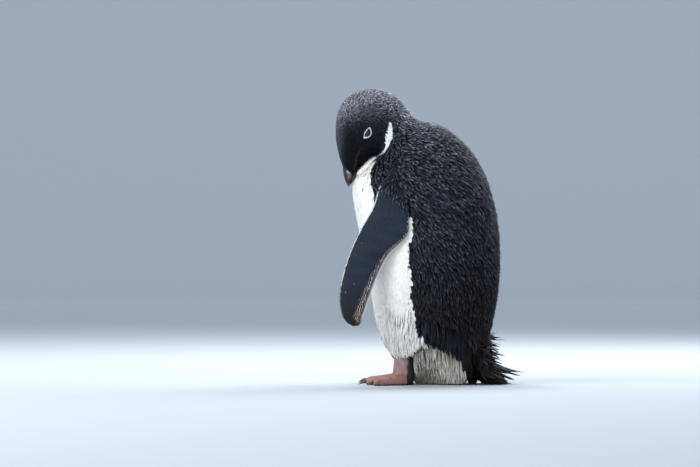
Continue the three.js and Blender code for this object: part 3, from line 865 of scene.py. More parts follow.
plumage, shader, place = material(
    "plumage", Specular_IOR_Level=0.13, Sheen_Weight=0.02, Sheen_Roughness=0.4
)
colour = place.node("ShaderNodeAttribute", attribute_name="marking")
vane_map = place.node("ShaderNodeUVMap", uv_map="vane")
off_shaft = (vane_map.axis(0) - 0.5).math("ABSOLUTE")
slanting = vane_map.axis(1) * 21 - off_shaft * 9  # 21 barbs along a vane
barbs = (slanting * (2 * np.pi)).math("SINE") * 0.5 + 0.5
darker = colour.tinted(barbs * 0.13, (0.55, 0.55, 0.57))
rough = place.noise(45.0, 2.0) * 0.3 + 0.42
feed(shader, Base_Color=darker, Roughness=rough, Normal=barbs.bump(0.22, 0.0003))

# ---------------------------------------------------------------- plumage of head and body
# The vanes are tiny on the face, short on the head, and longest on the lower back and belly.
# They run from the bill over the crown and down to the tail, blue-black with greyer shafts; the
# greyer shafts come from sides and roots painted near black, painted shade between the vanes.
# The white ones of the front lie flatter and closer, so that it looks like one smooth bib.

CRESCENT_WHITE, BLUE_BLACK = linear(214, 220, 228), linear(52, 80, 112)
RUSTY, WORN, LIPS = linear(96, 56, 44), linear(150, 136, 130), linear(124, 92, 90)
WARM_WHITE = linear(232, 226, 214)
TAIL_DARK, TAIL_TONE, TAIL_BROWN = linear(6, 5, 6), linear(34, 31, 34), linear(126, 108, 114)
OVER_EYE, RUST_SPOT = (-99, 436, 32, 17), (-32, 318, 14, 8)  # x, z; half width, half height
WORN_NECK, BROWN_BACK, MATTED_TAIL = (6, 416, 30, 12), (70, 150, 70, 90), (66, 70, 17, 14)
WHITE_ENDS = [(-30, 52), (-16, 62), (0, 66)]  # x, z of the white belly's lower edge
# Partly the plumage's own tone and partly painted light and shade: the black is painted darker low down and
# much lighter on the crown, as if lit from above and behind.
BLACK_TONE_AND_PAINTED_LIGHT = [  # height, and how light the black plumage is there
    (40, 0.09), (160, 0.22), (240, 0.6), (300, 0.66), (340, 0.7), (400, 0.84), (430, 1.6),
]


def coat_value(column):
    """One column of the coat's table as a function of the place along the body."""
    return lambda u: spline(coat_rows[:, column : column + 1], np.asarray(u, float))[..., 0]


def patch(points, x, z, wide, high):
    """1 in the middle of an oval patch seen from the side, falling softly to 0 at its rim."""
    return smooth(1, 0, np.hypot((points[:, 0] - x) / wide, (points[:, 2] - z) / high))


def under_tail(points):
    """1 where the body's own plumage belongs to the dark mass over the tail's root."""
    edge = points[:, 0] - 41 - 0.36 * (points[:, 2] - 50) + 3 * wobble(points, 16, 21)
    return smooth(-5, 5, edge) * smooth(94, 82, points[:, 2])


def vent_part(points):
    """1 behind the legs and below the white belly's lower edge."""
    return smooth(4, -4, above(WHITE_ENDS, points)) * smooth(-36, -27, points[:, 0])


def tail_tones(points, number):
    """The brownish black of the tail's plumage, lighter where it is matted; uneven."""
    matted = patch(points, *MATTED_TAIL) * dice.uniform(0.2, 1, number)
    return mixed(TAIL_TONE, TAIL_BROWN, matted) * np.exp(0.4 * dice.normal(size=number))[:, None]


# Roots: all over the body, and an under layer below the white; none in a flipper or a lid.
depth_at, length_at, width_at, tousle_at, sweep_at, frost_and_sheen_at = map(coat_value, range(6))
u, v = roots(body, 0.03, 0.998, lambda u: 0.4 * length_at(u), lambda u: 0.8 * width_at(u))
under_u, under_v = roots(body, 0.2, station("nape_fold"), lambda u: 0.6 * length_at(u), width_at)
lower = whiteness(surface(body, under_u, under_v)[0] + [1, 0, 0], under_u) > 0.5
second = np.concatenate([np.zeros(len(u)), np.ones(lower.sum())])  # 1 for the white coat's under layer
u, v = np.concatenate([u, under_u[lower]]), np.concatenate([v, under_v[lower]])
point, _, step_u, _ = surface(body, u, v)
in_flipper = [depth_inside(outer, point, FLIPPER_REACH) for outer in flipper_outer.values()]
free = (np.max(in_flipper, axis=0) < 0.5) & ((eye_gap(point) > 1.0) | (u < station("nape_fold")))
u, v, point, lie, second = u[free], v[free], point[free], -unit(step_u[free]), second[free]

# What each vane belongs to, as shares from 0 to 1.
number = len(u)
fold = np.minimum(v, 1 - v)  # 0 along the middle of the back, 0.5 along that of the front
shown = point + lie * (0.6 * length_at(u))[:, None]  # where a vane's bare part lies
height = point[:, 2]
head = smooth(station("neck_base"), station("occiput"), u)
on_ridge = smooth(0.32, 0.08, fold)
flecked = smooth(290, 305, height) * smooth(352, 340, height) * smooth(0.5, 0.4, fold)
scattered = np.stack([1.3 * flecked * dice.normal(size=number), 0 * u, 0 * u], -1)
pale = whiteness(shown + scattered, u)
deep = pale * whiteness(shown + [9, 0, 0], u) * (u < station("nape_fold"))
vent = vent_part(shown) * (u < station("loin"))
tailward = under_tail(shown) * (1 - pale)
bib_like = pale * (1 - vent)
calm = bib_like * (0.35 + 0.65 * np.maximum(smooth(90, 260, height), head))
bridge = smooth(0.022, 0.008, np.abs(u - station("nape_fold") - 0.02)) * on_ridge  # over the nape's fold

# Shape: white vanes lie calmly, and those of the back, the vent and the tail stand up more.
length = length_at(u) * dice.uniform(0.85, 1.15, number) * (1 + 0.55 * bridge)
length = length * (1 + 0.35 * np.maximum(vent, deep) + 0.4 * tailward)
before_eye = (eye_gap(point + lie * length[:, None]) < 0.4) & (u > station("nape_fold"))
length = np.where(before_eye, np.clip(eye_gap(point) - 0.2, 0.8, length), length)
width = width_at(u) * dice.uniform(0.85, 1.15, number) * (1 + (0.45 + 0.35 * deep) * pale * (1 - vent))
restless = (1 - 0.65 * calm) * (1 + 0.5 * vent + 0.6 * tailward)
sweep = -np.sin(2 * np.pi * v) * sweep_at(u) * smooth(0.5, 0.42, fold)
uneasy = tousle_at(u) * (0.8 * wobble(point, 60, 3) + 0.5 * dice.normal(size=number)) * restless
ragged = dice.uniform(size=number) ** 5 * smooth(0.36, 0.2, fold)
ragged = ragged + 0.7 * head * on_ridge * dice.uniform(size=number) ** 2
rise = (dice.uniform(-0.1, 0.9, number) + 2.4 * ragged) * depth_at(u) / 6 * (1 - 0.9 * calm) - 0.8 * second
shaggy = bib_like * smooth(170, 90, height) * smooth(-50, -75, point[:, 0])
rise = rise + 2.0 * shaggy * dice.uniform(size=number) ** 4
on_jaw = u > station("nape_fold") + 0.01
throat = smooth(station("shoulder") - 0.01, station("nape_fold") - 0.02, u) * ~on_jaw
jaw = on_jaw * smooth(0.36, 0.44, fold)
rise = rise + 1.2 * throat * smooth(0.3, 0.42, fold) * (1 - 0.85 * pale) + 1.6 * jaw + 0.8 * bridge
roll = dice.normal(size=number) * 0.14 * restless
corners, s = vanes(
    body, u, v, length, width, depth_at(u) + 0.3, rise, -1, np.radians(sweep + uneasy),
    roll=roll, quick=2 + 3 * calm, cup=0.25 - 0.2 * calm, crest=0.16 - 0.14 * calm,
)

# Colour: the black, with frost, a dim face, and rusty, worn and brown places; then the white,
# greyer on the belly and pure on the crescent; then the yellowish vent. The black is painted
# darker low down and lighter on the crown, painted shade and light as if lit from above and
# behind, and its frost is partly a painted sheen.
# Frost lies mostly along the top of the head and back: partly pale frosted tips, partly a painted sheen
# there.
frost_and_sheen_share = on_ridge * head + (1 - head) * (0.5 + 0.5 * on_ridge)
frost_and_sheen = np.clip(frost_and_sheen_at(u) * frost_and_sheen_share * (1.65 * dice.uniform(size=number) ** 1.4 + 0.15), 0, 1)
face = smooth(station("crown"), station("forehead"), u) * smooth(0.08, 0.26, fold)
cheek = smooth(station("nape_fold"), station("occiput"), u) * smooth(0.08, 0.27, fold)
# The vanes over the nape's fold are painted a little lighter: painted light against the shade in the fold.
light = read_off(BLACK_TONE_AND_PAINTED_LIGHT, height) * (1 + 0.15 * bridge)
light = light * np.minimum(np.exp((0.75 - 0.25 * head) * dice.normal(size=number) - 0.16), 2.3)
even = 0.8 * patch(shown, *OVER_EYE)  # smoother and greyer there
light = light * (1 - even) + 1.1 * even
frost_and_sheen = frost_and_sheen * (1 - even) + 0.46 * even
light = light * (1 - 0.9 * np.maximum(face, 0.86 * cheek))
dark = mixed(mixed(BLACK_TIP, BLUE_BLACK, np.maximum(face, cheek)), FROST_AND_SHEEN, frost_and_sheen) * light[:, None]
dark = mixed(dark, dark * RUSTY / np.mean(BLACK_TIP), 0.9 * patch(shown, *RUST_SPOT))
brown = 0.6 * patch(shown, *BROWN_BACK) * dice.uniform(size=number)
dark = mixed(dark, dark * [1.5, 1.0, 0.75], brown)
dark = mixed(dark, WORN * light[:, None], 0.7 * patch(shown, *WORN_NECK) * dice.uniform(size=number))
dark = mixed(dark, LIPS * 0.8, 0.8 * smooth(0.5, -0.5, off_line(shown, GAPE)) * (u > station("nape_fold")))
dark = mixed(dark, tail_tones(shown, number), tailward)
grey = smooth(200, 60, height)
warm = smooth(0.5, 1, wobble(point, 50, 11)) * 0.3
bib = mixed(mixed(WHITE_TIP, BELLY_GREY, grey), WARM_WHITE, warm)
bib = mixed(bib, CRESCENT_WHITE, u > station("nape_fold"))
low = smooth(260, 120, height)
bib = bib * (1 - (0.08 + 0.08 * low) * dice.uniform(size=number))[:, None]
bib = mixed(bib, VENT_TIP * dice.uniform(0.6, 1.1, number)[:, None], vent)
# Black vanes darken to near black at the root and to a tenth of their colour at the sides: painted shade
# between the vanes, so that each shaft shows as a lit stroke.
root_colour = mixed(BLACK_ROOT, mixed(WHITE_ROOT, VENT_ROOT, vent), pale)
edge_colour = mixed(dark * 0.1, bib * (0.97 - 0.07 * low)[:, None], pale)
power = 1.2 + 1.2 * (1 - pale) * (1 + frost_and_sheen_share * head)
colour = along_vane(root_colour, edge_colour, mixed(dark, bib, pale), s, power)

PIECES = {  # where each piece of the coat ends along the body
    "coat_vent": station("legs") - 0.02,
    "coat_loin": station("waist") - 0.02,
    "coat_breast": station("shoulder"),
    "coat_neck": station("occiput"),
    "coat_crown": station("forehead"),
    "coat_face": 1.01,
}
start = 0
for name, end in PIECES.items():
    chosen = (u >= start) & (u < end)
    put_vanes(name, corners[chosen], s, colour[chosen], v[chosen], u[chosen])
    start = end

# ---------------------------------------------------------------- throat
# With the head bent down, the throat is a soft white pad pressed into the fold between the
# jaw and the breast. Its plumage runs down from the fold to the bill.

THROAT = [  # x, z under the jaw; x, z in the breast; half width; egg; power
    (-119, 341.5, -113.5, 333, 6.5, 0, 2),
    (-116.5, 346, -106, 332, 11, 0, 2),
    (-109.5, 352, -97, 337, 14, 0, 2),
    (-102.5, 358.5, -89, 343, 16, 0, 2),
    (-96, 363, -82, 348, 17, 0, 2),
    (-90, 367, -76, 353, 17, 0, 2),
]
pad = form(THROAT)
u, v = roots(pad, 0.02, 0.98, lambda u: 2.2, lambda u: 1.6)
number = len(u)
corners, s = vanes(
    pad, u, v, dice.uniform(8, 10, number), dice.uniform(3, 4, number), np.full(number, 1.2),
    dice.uniform(0, 0.4, number), -1, np.radians(6) * dice.normal(size=number), cup=0.05, crest=0.02,
)
put_vanes("coat_throat", corners, s, WHITE_TIP, v, u)

# ---------------------------------------------------------------- shaggy hem
# Long loose tufts end the coat below: white wisps over the tops of the legs, jagged black
# points over the vent, and dull yellowish ones between the legs and the tail that come down
# to the floor.

WISP_TIPS = [  # x, z
    (-92, 118), (-81, 84), (-74, 62), (-66, 44), (-56, 41), (-42, 45), (-29, 53), (-16, 66),
    (-10, 74),
]
BLACK_TIPS = [
    (-30, 92), (-24, 84), (-16, 70), (0, 61), (13, 54), (30, 51), (38, 46), (50, 33), (58, 12),
    (66, -8), (75, -14),
]
WISPS_OFTEN = [(7, 0), (9, 1), (22, 0.7), (75, 0.12), (80, 0)]  # height over their tips, share kept
TUFT_BLADE = ((0.2, 0.75), (0.45, 1.0), (0.7, 0.7), (0.88, 0.35))
VENT_PALE, VENT_DULL, BARE_BEIGE = linear(240, 240, 230), linear(172, 166, 142), linear(164, 148, 140)


def hanging(u, v, length, width, drop, flare, splay):
    """Corner points of loose tufts: straight from the root in a mix of the coat's lie, the
    way down and a sideways splay; they stand out by flare over the middle, as a sine, and
    nearly as much at the tip, and bend where they reach the floor."""
    root, up, step_u, _ = surface(body, u, v)
    s, wide = from_root(TUFT_BLADE)
    drop = np.reshape(drop, (-1, 1))
    lie, down, sideways = -unit(step_u), np.array([0, 0, -1]), np.cross(up, [0, 0, 1])
    heading = unit(lie * (1 - drop) + down * drop + sideways * splay[:, None])
    flare = flare * np.minimum(length / 18, 1)
    lift = flare[:, None] * (np.sin(np.pi * s) + 0.8 * s) + 1.2 * s - 4 * (1 - s) ** 4
    reach = length[:, None] * s
    spot = root[:, None] + heading[:, None] * reach[..., None] + up[:, None] * lift[..., None]
    spot[..., 2] = np.maximum(spot[..., 2], 0.8 + 1.2 * dice.uniform(size=(len(u), 1)))
    roll = dice.normal(size=len(u)) * 0.2
    return leaves(spot, up[:, None] + 0 * spot, width, wide, roll, cup=0.15, crest=0.1), s


def strewn(tries, low, high, wanted, most):
    """Random places between two shares of the body's length: the first of those that the
    test wanted lets through, at most so many, with their points."""
    u, v = dice.uniform(low, high, tries), dice.uniform(0, 1, tries)
    point = surface(body, u, v)[0]
    kept = np.flatnonzero(wanted(u, point))[:most]
    return u[kept], v[kept], point[kept]


def wisp_wanted(u, point):
    """Whether a white wisp may stand there: around the legs, mostly just over its line."""
    often = read_off(WISPS_OFTEN, above(WISP_TIPS, point)) * (np.abs(point[:, 0] + 43) < 31)
    return (dice.uniform(size=len(u)) < often) & (whiteness(point - [-5, 0, 14], u) > 0.5)


def black_wanted(u, point):
    """Whether a black tuft may: behind the legs, on the black just over its line."""
    gap = above(BLACK_TIPS, point)
    return (gap > 2) & (gap < 44) & (point[:, 0] > -26) & (whiteness(point, u) < 0.5)


def vent_wanted(_, point):
    """Whether a dull tuft may: under the black tufts and before the tail."""
    x, z = point[:, 0], point[:, 2]
    return (above(BLACK_TIPS, point) < 16) & (x > -30) & (x < 60) & (z < 78)


def gathered(points, pace, seed):
    """For tufts that gather into points about a pace apart round the body: how far sideways
    of its point each stands, in mm, and an uneven value from -1 to 1, the same for a point."""
    around = np.arctan2(points[:, 1], points[:, 0] - 10) * 75 / pace
    around = around + 0.6 * wobble(points * [1, 1, 0.15], 30, seed)
    nearest = np.round(around)
    return (around - nearest) * pace, np.sin(12.9 * nearest + seed)


u, v, point = strewn(60000, station("rump"), station("waist"), wisp_wanted, 4200)
number = len(u)
in_front = smooth(-58, -72, point[:, 0])
aside, uneven_tip = gathered(point, 6.5, 41)
length = above(WISP_TIPS, point) + 1 + 3.5 * uneven_tip - 1.4 * np.abs(aside)
length = np.clip(length, 5, dice.uniform(16, 28, number)) * dice.uniform(0.8, 1.02, number)
width, flare = dice.uniform(1.8, 3.4, number), dice.uniform(0, 1.1, number) * (1 - 0.8 * in_front)
splay = 0.6 * aside / length + 0.06 * dice.normal(size=number)
corners, s = hanging(u, v, length, width, 0.7 - 0.5 * in_front, flare, splay)
tone = mixed(WHITE_TIP, BELLY_GREY, dice.uniform(0, 1, number)) * dice.uniform(0.88, 1.04, number)[:, None]
put_vanes("hem_white", corners, s, along_vane(tone * 0.92, tone * 0.88, tone, s, 1.0), v, u)

u, v, point = strewn(30000, station("vent"), station("loin"), black_wanted, 3000)
number = len(u)
aside, uneven_tip = gathered(point, 8.5, 42)
length = above(BLACK_TIPS, point) + 3 + 10 * uneven_tip - 3 * np.abs(aside)
length = np.clip(length, 7, dice.uniform(24, 36, number)) * dice.uniform(0.8, 1.02, number)
width, flare = dice.uniform(1.8, 3.6, number), dice.uniform(1.2, 4.2, number)
splay = 0.8 * aside / length + 0.05 * dice.normal(size=number)
corners, s = hanging(u, v, length, width, 0.75, flare, splay)
tone = BLACK_TIP * (0.3 * np.exp(0.5 * dice.normal(size=number)))[:, None]
tone = mixed(tone, tail_tones(point, number), under_tail(point))
# The sides are painted at an eighth of the colour and the roots near black: painted shade between the
# tufts.
colour = along_vane(BLACK_ROOT, tone * 0.12, tone, s, 1.4)
put_vanes("hem_black", corners, s, colour, v, u)

u, v, point = strewn(20000, 0.02, station("legs"), vent_wanted, 4600)
number = len(u)
upper = smooth(22, 44, point[:, 2])
aside, uneven_tip = gathered(point, 7, 43)
length = (16 + 15 * upper) * (1 + 0.3 * uneven_tip) * dice.uniform(0.75, 1.1, number)
length = np.minimum(length, point[:, 2] * 0.95 + 3)
width, flare = dice.uniform(1.3, 2.5, number), dice.uniform(0.1, 1.8, number)
splay = 0.7 * aside / length + 0.08 * dice.normal(size=number)
corners, s = hanging(u, v, length, width, 0.8, flare, splay)
bright = mixed(VENT_DULL, VENT_PALE, (0.25 + 0.75 * upper) * dice.uniform(0, 1, number) ** 0.6)
bright = mixed(bright, BARE_BEIGE, smooth(4, -20, point[:, 0]) * smooth(40, 22, point[:, 2]))
bright = bright * (dice.uniform(0.62, 1.1, number) * (1 + 0.22 * uneven_tip))[:, None]
colour = along_vane(bright * 0.22, bright * 0.7, bright * 1.08, s, 1.1)
put_vanes("hem_vent", corners, s, colour, v, u)

# ---------------------------------------------------------------- plumage of the flippers
# Tiny scale-like vanes cover the blades, slate outside and white inside, with a white line on
# the leading edge, a band of pale specks along the trailing one and a short white fringe.
# Shoulder vanes hang over the root down to a slanting hem.

HEM = (-85, 314), (-43, 277)  # x, z of the hem's front and rear ends
SPECKED_BAND = [(98, 0), (112, 17), (140, 15), (185, 11), (230, 6), (250, 2)]  # height, width
FRINGE_BAND = [(95, 3), (120, 4), (180, 4), (225, 3), (245, 2)]  # height, how far it lies in
FRINGE_EDGE = 0.75  # where along its length a fringe vane passes the edge
FRINGE_OVER = 10  # how far it would reach over the edge from root to tip
FRINGE_BROWN, SCALE_PALE = linear(214, 196, 174), linear(200, 186, 178)
# The fringe's tips are painted pure white: partly their own white, partly painted backlight.
FRINGE_WHITE_BACKLIT = linear(252, 252, 250)
SCALE_BLADE = ((0.25, 0.85), (0.6, 1.0), (0.86, 0.7))
FRINGE_BLADE = ((0.25, 0.9), (0.5, 1.0), (FRINGE_EDGE, 1.0), (0.9, 0.95))


def past_hem(point):
    """How far a point lies below the hem of the shoulder vanes, seen from the side, in mm."""
    (x0, z0), (x1, z1) = HEM
    run = np.hypot(x1 - x0, z1 - z0)
    return ((point[:, 0] - x0) * (z1 - z0) - (point[:, 2] - z0) * (x1 - x0)) / run


def chords(blade, u):
    """Where the leading and the trailing edge lie at places along a blade, and how wide it is
    there."""
    ends = spline(blade, u)[:, :6].reshape(-1, 2, 3)
    return ends[:, 0], ends[:, 1], np.linalg.norm(ends[:, 1] - ends[:, 0], axis=1)


def put_scales(side, sign):
    """The scale-like vanes all over a blade, down from the hem."""
    blade = flippers[side]
    u, v = roots(blade, 0.01, 0.985, lambda u: 2.3, lambda u: 1.7)
    point, normal, step_u, _ = surface(blade, u, v)
    free = (depth_inside(body_outer, point, BODY_REACH) < 1) & (past_hem(point) > -6)
    every_other = np.arange(len(u))[free] % 2
    u, v, point = u[free], v[free], point[free]
    number = len(u)
    outer = normal[free, 1] * sign > 0
    to_end = (1 - u) * np.linalg.norm(step_u[free], axis=1)
    across = np.minimum(v, 1 - v) * 2  # 0 on the leading edge, 1 on the trailing one
    _, _, blade_width = chords(blade, u)
    to_trailing = blade_width * (1 + np.cos(np.pi * across)) / 2
    to_leading = blade_width - to_trailing
    white_line = smooth(1.5, 1.0, to_leading) * (0.15 + 0.8 * smooth(140, 180, point[:, 2]))
    tip = smooth(170, 105, point[:, 2])
    light = (1 + 0.12 * wobble(point, 30, 4)) * dice.uniform(0.88, 1.12, number)
    speck = (dice.uniform(size=number) > 0.9992) * smooth(260, 200, point[:, 2]) * 0.5
    tone = mixed(mixed(mixed(SLATE, SLATE_TIP, tip) * light[:, None], WORN, speck), WHITE_TIP, white_line)
    band = read_off(SPECKED_BAND, point[:, 2])
    dots = smooth(1.0, 0.45, to_trailing / np.maximum(band, 0.1))
    dotted = every_other * dots * dice.uniform(0.3, 1, number)
    tone = mixed(tone * (1 - 0.3 * dots)[:, None], SCALE_PALE, dotted)
    edge_dark = np.maximum(smooth(3.5, 2.5, to_leading), smooth(112, 106, point[:, 2]))
    tone = np.where(outer[:, None], tone, mixed(WHITE_TIP * 0.92, SLATE_TIP, edge_dark))
    yaw = np.radians(4) * dice.normal(size=number)
    length = np.minimum(dice.uniform(3.8, 4.6, number), 0.8 * to_end + 1.0)
    corners, s = vanes(
        blade, u, v, length, dice.uniform(2.1, 2.6, number), np.full(number, FLIPPER_COAT + 0.1),
        dice.uniform(0, 0.12, number), 1, yaw, SCALE_BLADE, cup=0.1, crest=0.06,
    )
    colour = along_vane(tone * 0.85, tone * 0.95, tone, s, 1.0)
    put_vanes("coat_flipper_" + side, corners, s, colour, v, u)


def put_fringe(side, sign):
    """Short narrow vanes that lie across the rear of a blade's outer face and stand a little
    past its edge: every other one is brown and the rest are slate, all with white tips."""
    blade = flippers[side]
    u = np.linspace(0.33, 0.965, 240)
    number = len(u)
    leading, trailing, blade_width = chords(blade, u)
    band = read_off(FRINGE_BAND, trailing[:, 2]) * dice.uniform(0.7, 1.15, number)
    from_v = np.arccos(np.clip(2 * band / blade_width - 1, -1, 1)) / (2 * np.pi)
    s, wide = from_root(FRINGE_BLADE)
    across = from_v[:, None] + (0.5 - from_v[:, None]) * np.minimum(s / FRINGE_EDGE, 1) ** 0.7
    spot, up, _, _ = surface(blade, u[:, None] + 0 * across, across if sign > 0 else 1 - across)
    over = unit(trailing - leading)[:, None] * np.maximum(s - FRINGE_EDGE, 0)[:, None] * FRINGE_OVER
    spot = spot + up * 0.35 + over + np.array([0, 0, -1]) * s[:, None] * 1.2
    striped = np.arange(number) % 2 == 0
    corners = leaves(spot, up, np.where(striped, 1.7, 1.3), wide, 0.0, cup=0.1, crest=0.2)
    low_end = smooth(96, 112, trailing[:, 2])
    stripe = striped * dice.uniform(0.6, 1, number) * low_end
    middle = mixed(SLATE * 0.8, FRINGE_BROWN, stripe)
    # The white tips are brightened to pure white as painted backlight.
    end = mixed(middle, FRINGE_WHITE_BACKLIT, (0.85 + 0.15 * striped) * low_end)
    inner = along_vane(SLATE * 0.9, middle * 0.9, middle, s, 0.5)
    far = each_corner(smooth(0.4, 0.62, s))[:, None]
    colour = inner * (1 - far) + end[:, None] * far
    put_vanes("fringe_flipper_" + side, corners, s, colour, dice.uniform(size=number), u)


def put_shoulder(side):
    """The longer vanes over a blade's root, down to the hem."""
    blade = flippers[side]
    u, v = roots(blade, -0.06, 0.5, lambda u: 4.2, lambda u: 2.6)
    point = surface(blade, u, v)[0]
    free = (depth_inside(body_outer, point, BODY_REACH) < 2) & (past_hem(point) < -5)
    u, v = u[free], v[free]
    number = len(u)
    length = dice.uniform(10, 13, number)
    yaw = np.radians(9) * dice.normal(size=number)
    rise = dice.uniform(1.2, 2.6, number)
    corners, s = vanes(
        blade, u, v, length, dice.uniform(3.4, 4.2, number), np.full(number, 1.5), rise, 1, yaw,
        roll=dice.normal(size=number) * 0.15,
    )
    light = 0.72 * np.exp(0.6 * dice.normal(size=number) - 0.14)
    dark = mixed(BLACK_TIP, FROST_AND_SHEEN, 0.15 * dice.uniform(size=number)) * light[:, None]
    # The sides are painted at a tenth of the colour and the roots near black: painted shade between the
    # vanes.
    colour = along_vane(BLACK_ROOT, dark * 0.1, dark, s, 2.4)
    put_vanes("coat_shoulder_" + side, corners, s, colour, v, u)


body_outer = spread_over(body, 300, 120)
for side, sign in SIDES.items():
    put_scales(side, sign)
    put_fringe(side, sign)
    put_shoulder(side)

# ---------------------------------------------------------------- tail
# Stiff narrow quills fan out over the floor behind the bird, under short ragged coverts that
# stick out on all sides of the tail's root. All are brownish black, matted in one place.

QUILLS, FAN, LENGTH = 15, 36, 95.2  # how many; the outermost's turn in degrees; mm
COVERTS = 420
MATTED_ROOT = (66, 72, 17, 15)  # x, z; half width, half height
QUILL_BLADE = ((0.08, 0.5), (0.25, 0.85), (0.45, 1.0), (0.62, 0.95), (0.78, 0.75), (0.9, 0.5))


def uneven(k):
    """A fixed scatter between -1 and 1 for the k-th feather."""
    return np.sin(7.3 * k + 1.1)


def quills(root, tip, width, sag, blade, lean=0.0):
    """Feathers on straight paths from root to tip that hang by sag in the middle, as a
    parabola, but not to the floor; the flat of each faces up, leaning by lean towards its
    own side."""
    s, wide = from_root(blade)
    spot = root[:, None] + (tip - root)[:, None] * s[:, None]
    spot[..., 2] -= 4 * np.reshape(sag, (-1, 1)) * s * (1 - s)
    spot[..., 2] = np.maximum(spot[..., 2], 1.2)
    up = np.zeros_like(spot) + [0.25, 0, 1]
    return leaves(spot, unit(up), width, wide, lean, crest=0.35), s


k = np.arange(QUILLS)
q = 2 * k / (QUILLS - 1) - 1  # from -1 to 1 across the fan
turn = np.radians(FAN * q)
length = LENGTH * (1 - 0.25 * q**2 - 0.15 * (k % 3 != 1)) + 5 * uneven(k)
root = np.stack([56 + 4 * uneven(k + 3), 24 * q, 66 - 10 * q**2], -1)
x, y = root[:, 0] + length * np.cos(turn), root[:, 1] + length * np.sin(turn)
tip = np.stack([x, y, 15 - 11 * q**2 + 8 * uneven(2 * k)], -1)
lean = np.clip(1.6 * q, -0.8, 0.8) + 0.3 * uneven(k + 5)
corners, s = quills(root, tip, np.full(QUILLS, 6.5), 9.0, QUILL_BLADE, lean)
corners[..., 2] = np.maximum(corners[..., 2], 0.3)
tone = TAIL_TONE * dice.uniform(0.7, 1.2, QUILLS)[:, None]
colour = along_vane(TAIL_DARK, tone * 0.3, tone * 0.8, s, 1.0)
rectrices = put_vanes("tail_quills", corners, s, colour, q, 0.5 + 0.5 * uneven(k))
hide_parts("tail")

share = dice.uniform(0, 1, COVERTS) ** 0.8  # 0 high on the tail's root, 1 low
side = dice.uniform(-1, 1, COVERTS)
drop = np.radians(8 + 46 * share + dice.normal(size=COVERTS) * 6)
turn = np.radians(48 * side + dice.normal(size=COVERTS) * 5)
length = dice.uniform(22, 60, COVERTS) * (1 - 0.25 * side**2)
root = np.stack([60 + 14 * share, 30 * side * (0.6 + 0.5 * share), 90 - 50 * share], -1)
level = length * np.cos(drop)
tip = root + np.stack([level * np.cos(turn), level * np.sin(turn), -length * np.sin(drop)], -1)
tip[:, 2] = np.maximum(tip[:, 2], 1.5)
width, sag = dice.uniform(3.5, 7, COVERTS), dice.uniform(0, 5, COVERTS)
lean = 0.9 * side + dice.normal(size=COVERTS) * 0.3
corners, s = quills(root, tip, width, sag, QUILL_BLADE[1:], lean)
tone = mixed(TAIL_TONE, TAIL_BROWN, 0.35 * dice.uniform(size=COVERTS) ** 2)
tone = tone * dice.uniform(0.4, 1.3, COVERTS)[:, None]
colour = along_vane(TAIL_DARK, tone * 0.6, tone, s, 0.8)
put_vanes("tail_coverts", corners, s, colour, side, share)

u, v = roots(tail_root, 0.02, 0.9, lambda u: 6.5, lambda u: 3.2)
number = len(u)
length, width = dice.uniform(16, 26, number), dice.uniform(3.2, 4.6, number)
rise, yaw = dice.uniform(0, 4, number), np.radians(16) * dice.normal(size=number)
corners, s = vanes(
    tail_root, u, v, length, width, np.full(number, 3.2), rise, 1, yaw,
    cling=0.6, roll=dice.normal(size=number) * 0.3,
)
corners[..., 2] = np.maximum(corners[..., 2], 0.6)
point = corners[:, 7]  # one side of each vane, past its middle
matted = patch(point, *MATTED_ROOT) * (np.abs(point[:, 1]) > 20)
tone = mixed(TAIL_TONE, TAIL_BROWN, matted) * dice.uniform(0.4, 1.3, number)[:, None]
colour = along_vane(TAIL_DARK, tone * 0.5, tone, s, 1.2)
put_vanes("coat_tail_root", corners, s, colour, v, u)

# ---------------------------------------------------------------- bill
# The horny sheaths of the two jaws come out of the feathered face: a strong pointed upper one
# and a shallow lower one. The upper one has a slate ridge, a reddish brown side that is pinkish
# by the feathers where a pale painted highlight blends into it, and a dark end with an amber
# tip; the lower one is nearly black.

UPPER_BILL = [  # ridge x, z; cutting edge x, z; half width; egg; power
    (-142, 372, -119, 366, 8, 0, 2),
    (-141.6, 352, -121.8, 347, 8, 0, 2),
    (-140, 336, -124.6, 332.5, 6.6, 0, 2),
    (-136.8, 324, -128.4, 322, 4.2, 0, 2),
    (-132.2, 315, -131, 315.6, 1, 0, 2),
]
LOWER_BILL = [  # cutting edge x, z; underside x, z; half width; egg; power
    (-118.8, 366, -109, 361, 7, 0, 2),
    (-121.9, 347.4, -116, 342, 6.8, 0, 2),
    (-125, 332.4, -121.2, 328.8, 5.2, 0, 2),
    (-129.8, 318.8, -129, 318.6, 1, 0, 2),
]
BILL_RINGS, BILL_AROUND = 90, 64
RIDGE, BILL_PALE_HIGHLIGHT, BILL_RED = linear(32, 38, 48), linear(220, 210, 212), linear(124, 98, 93)
BILL_DARK, BILL_TIP = linear(36, 29, 31), linear(136, 88, 70)


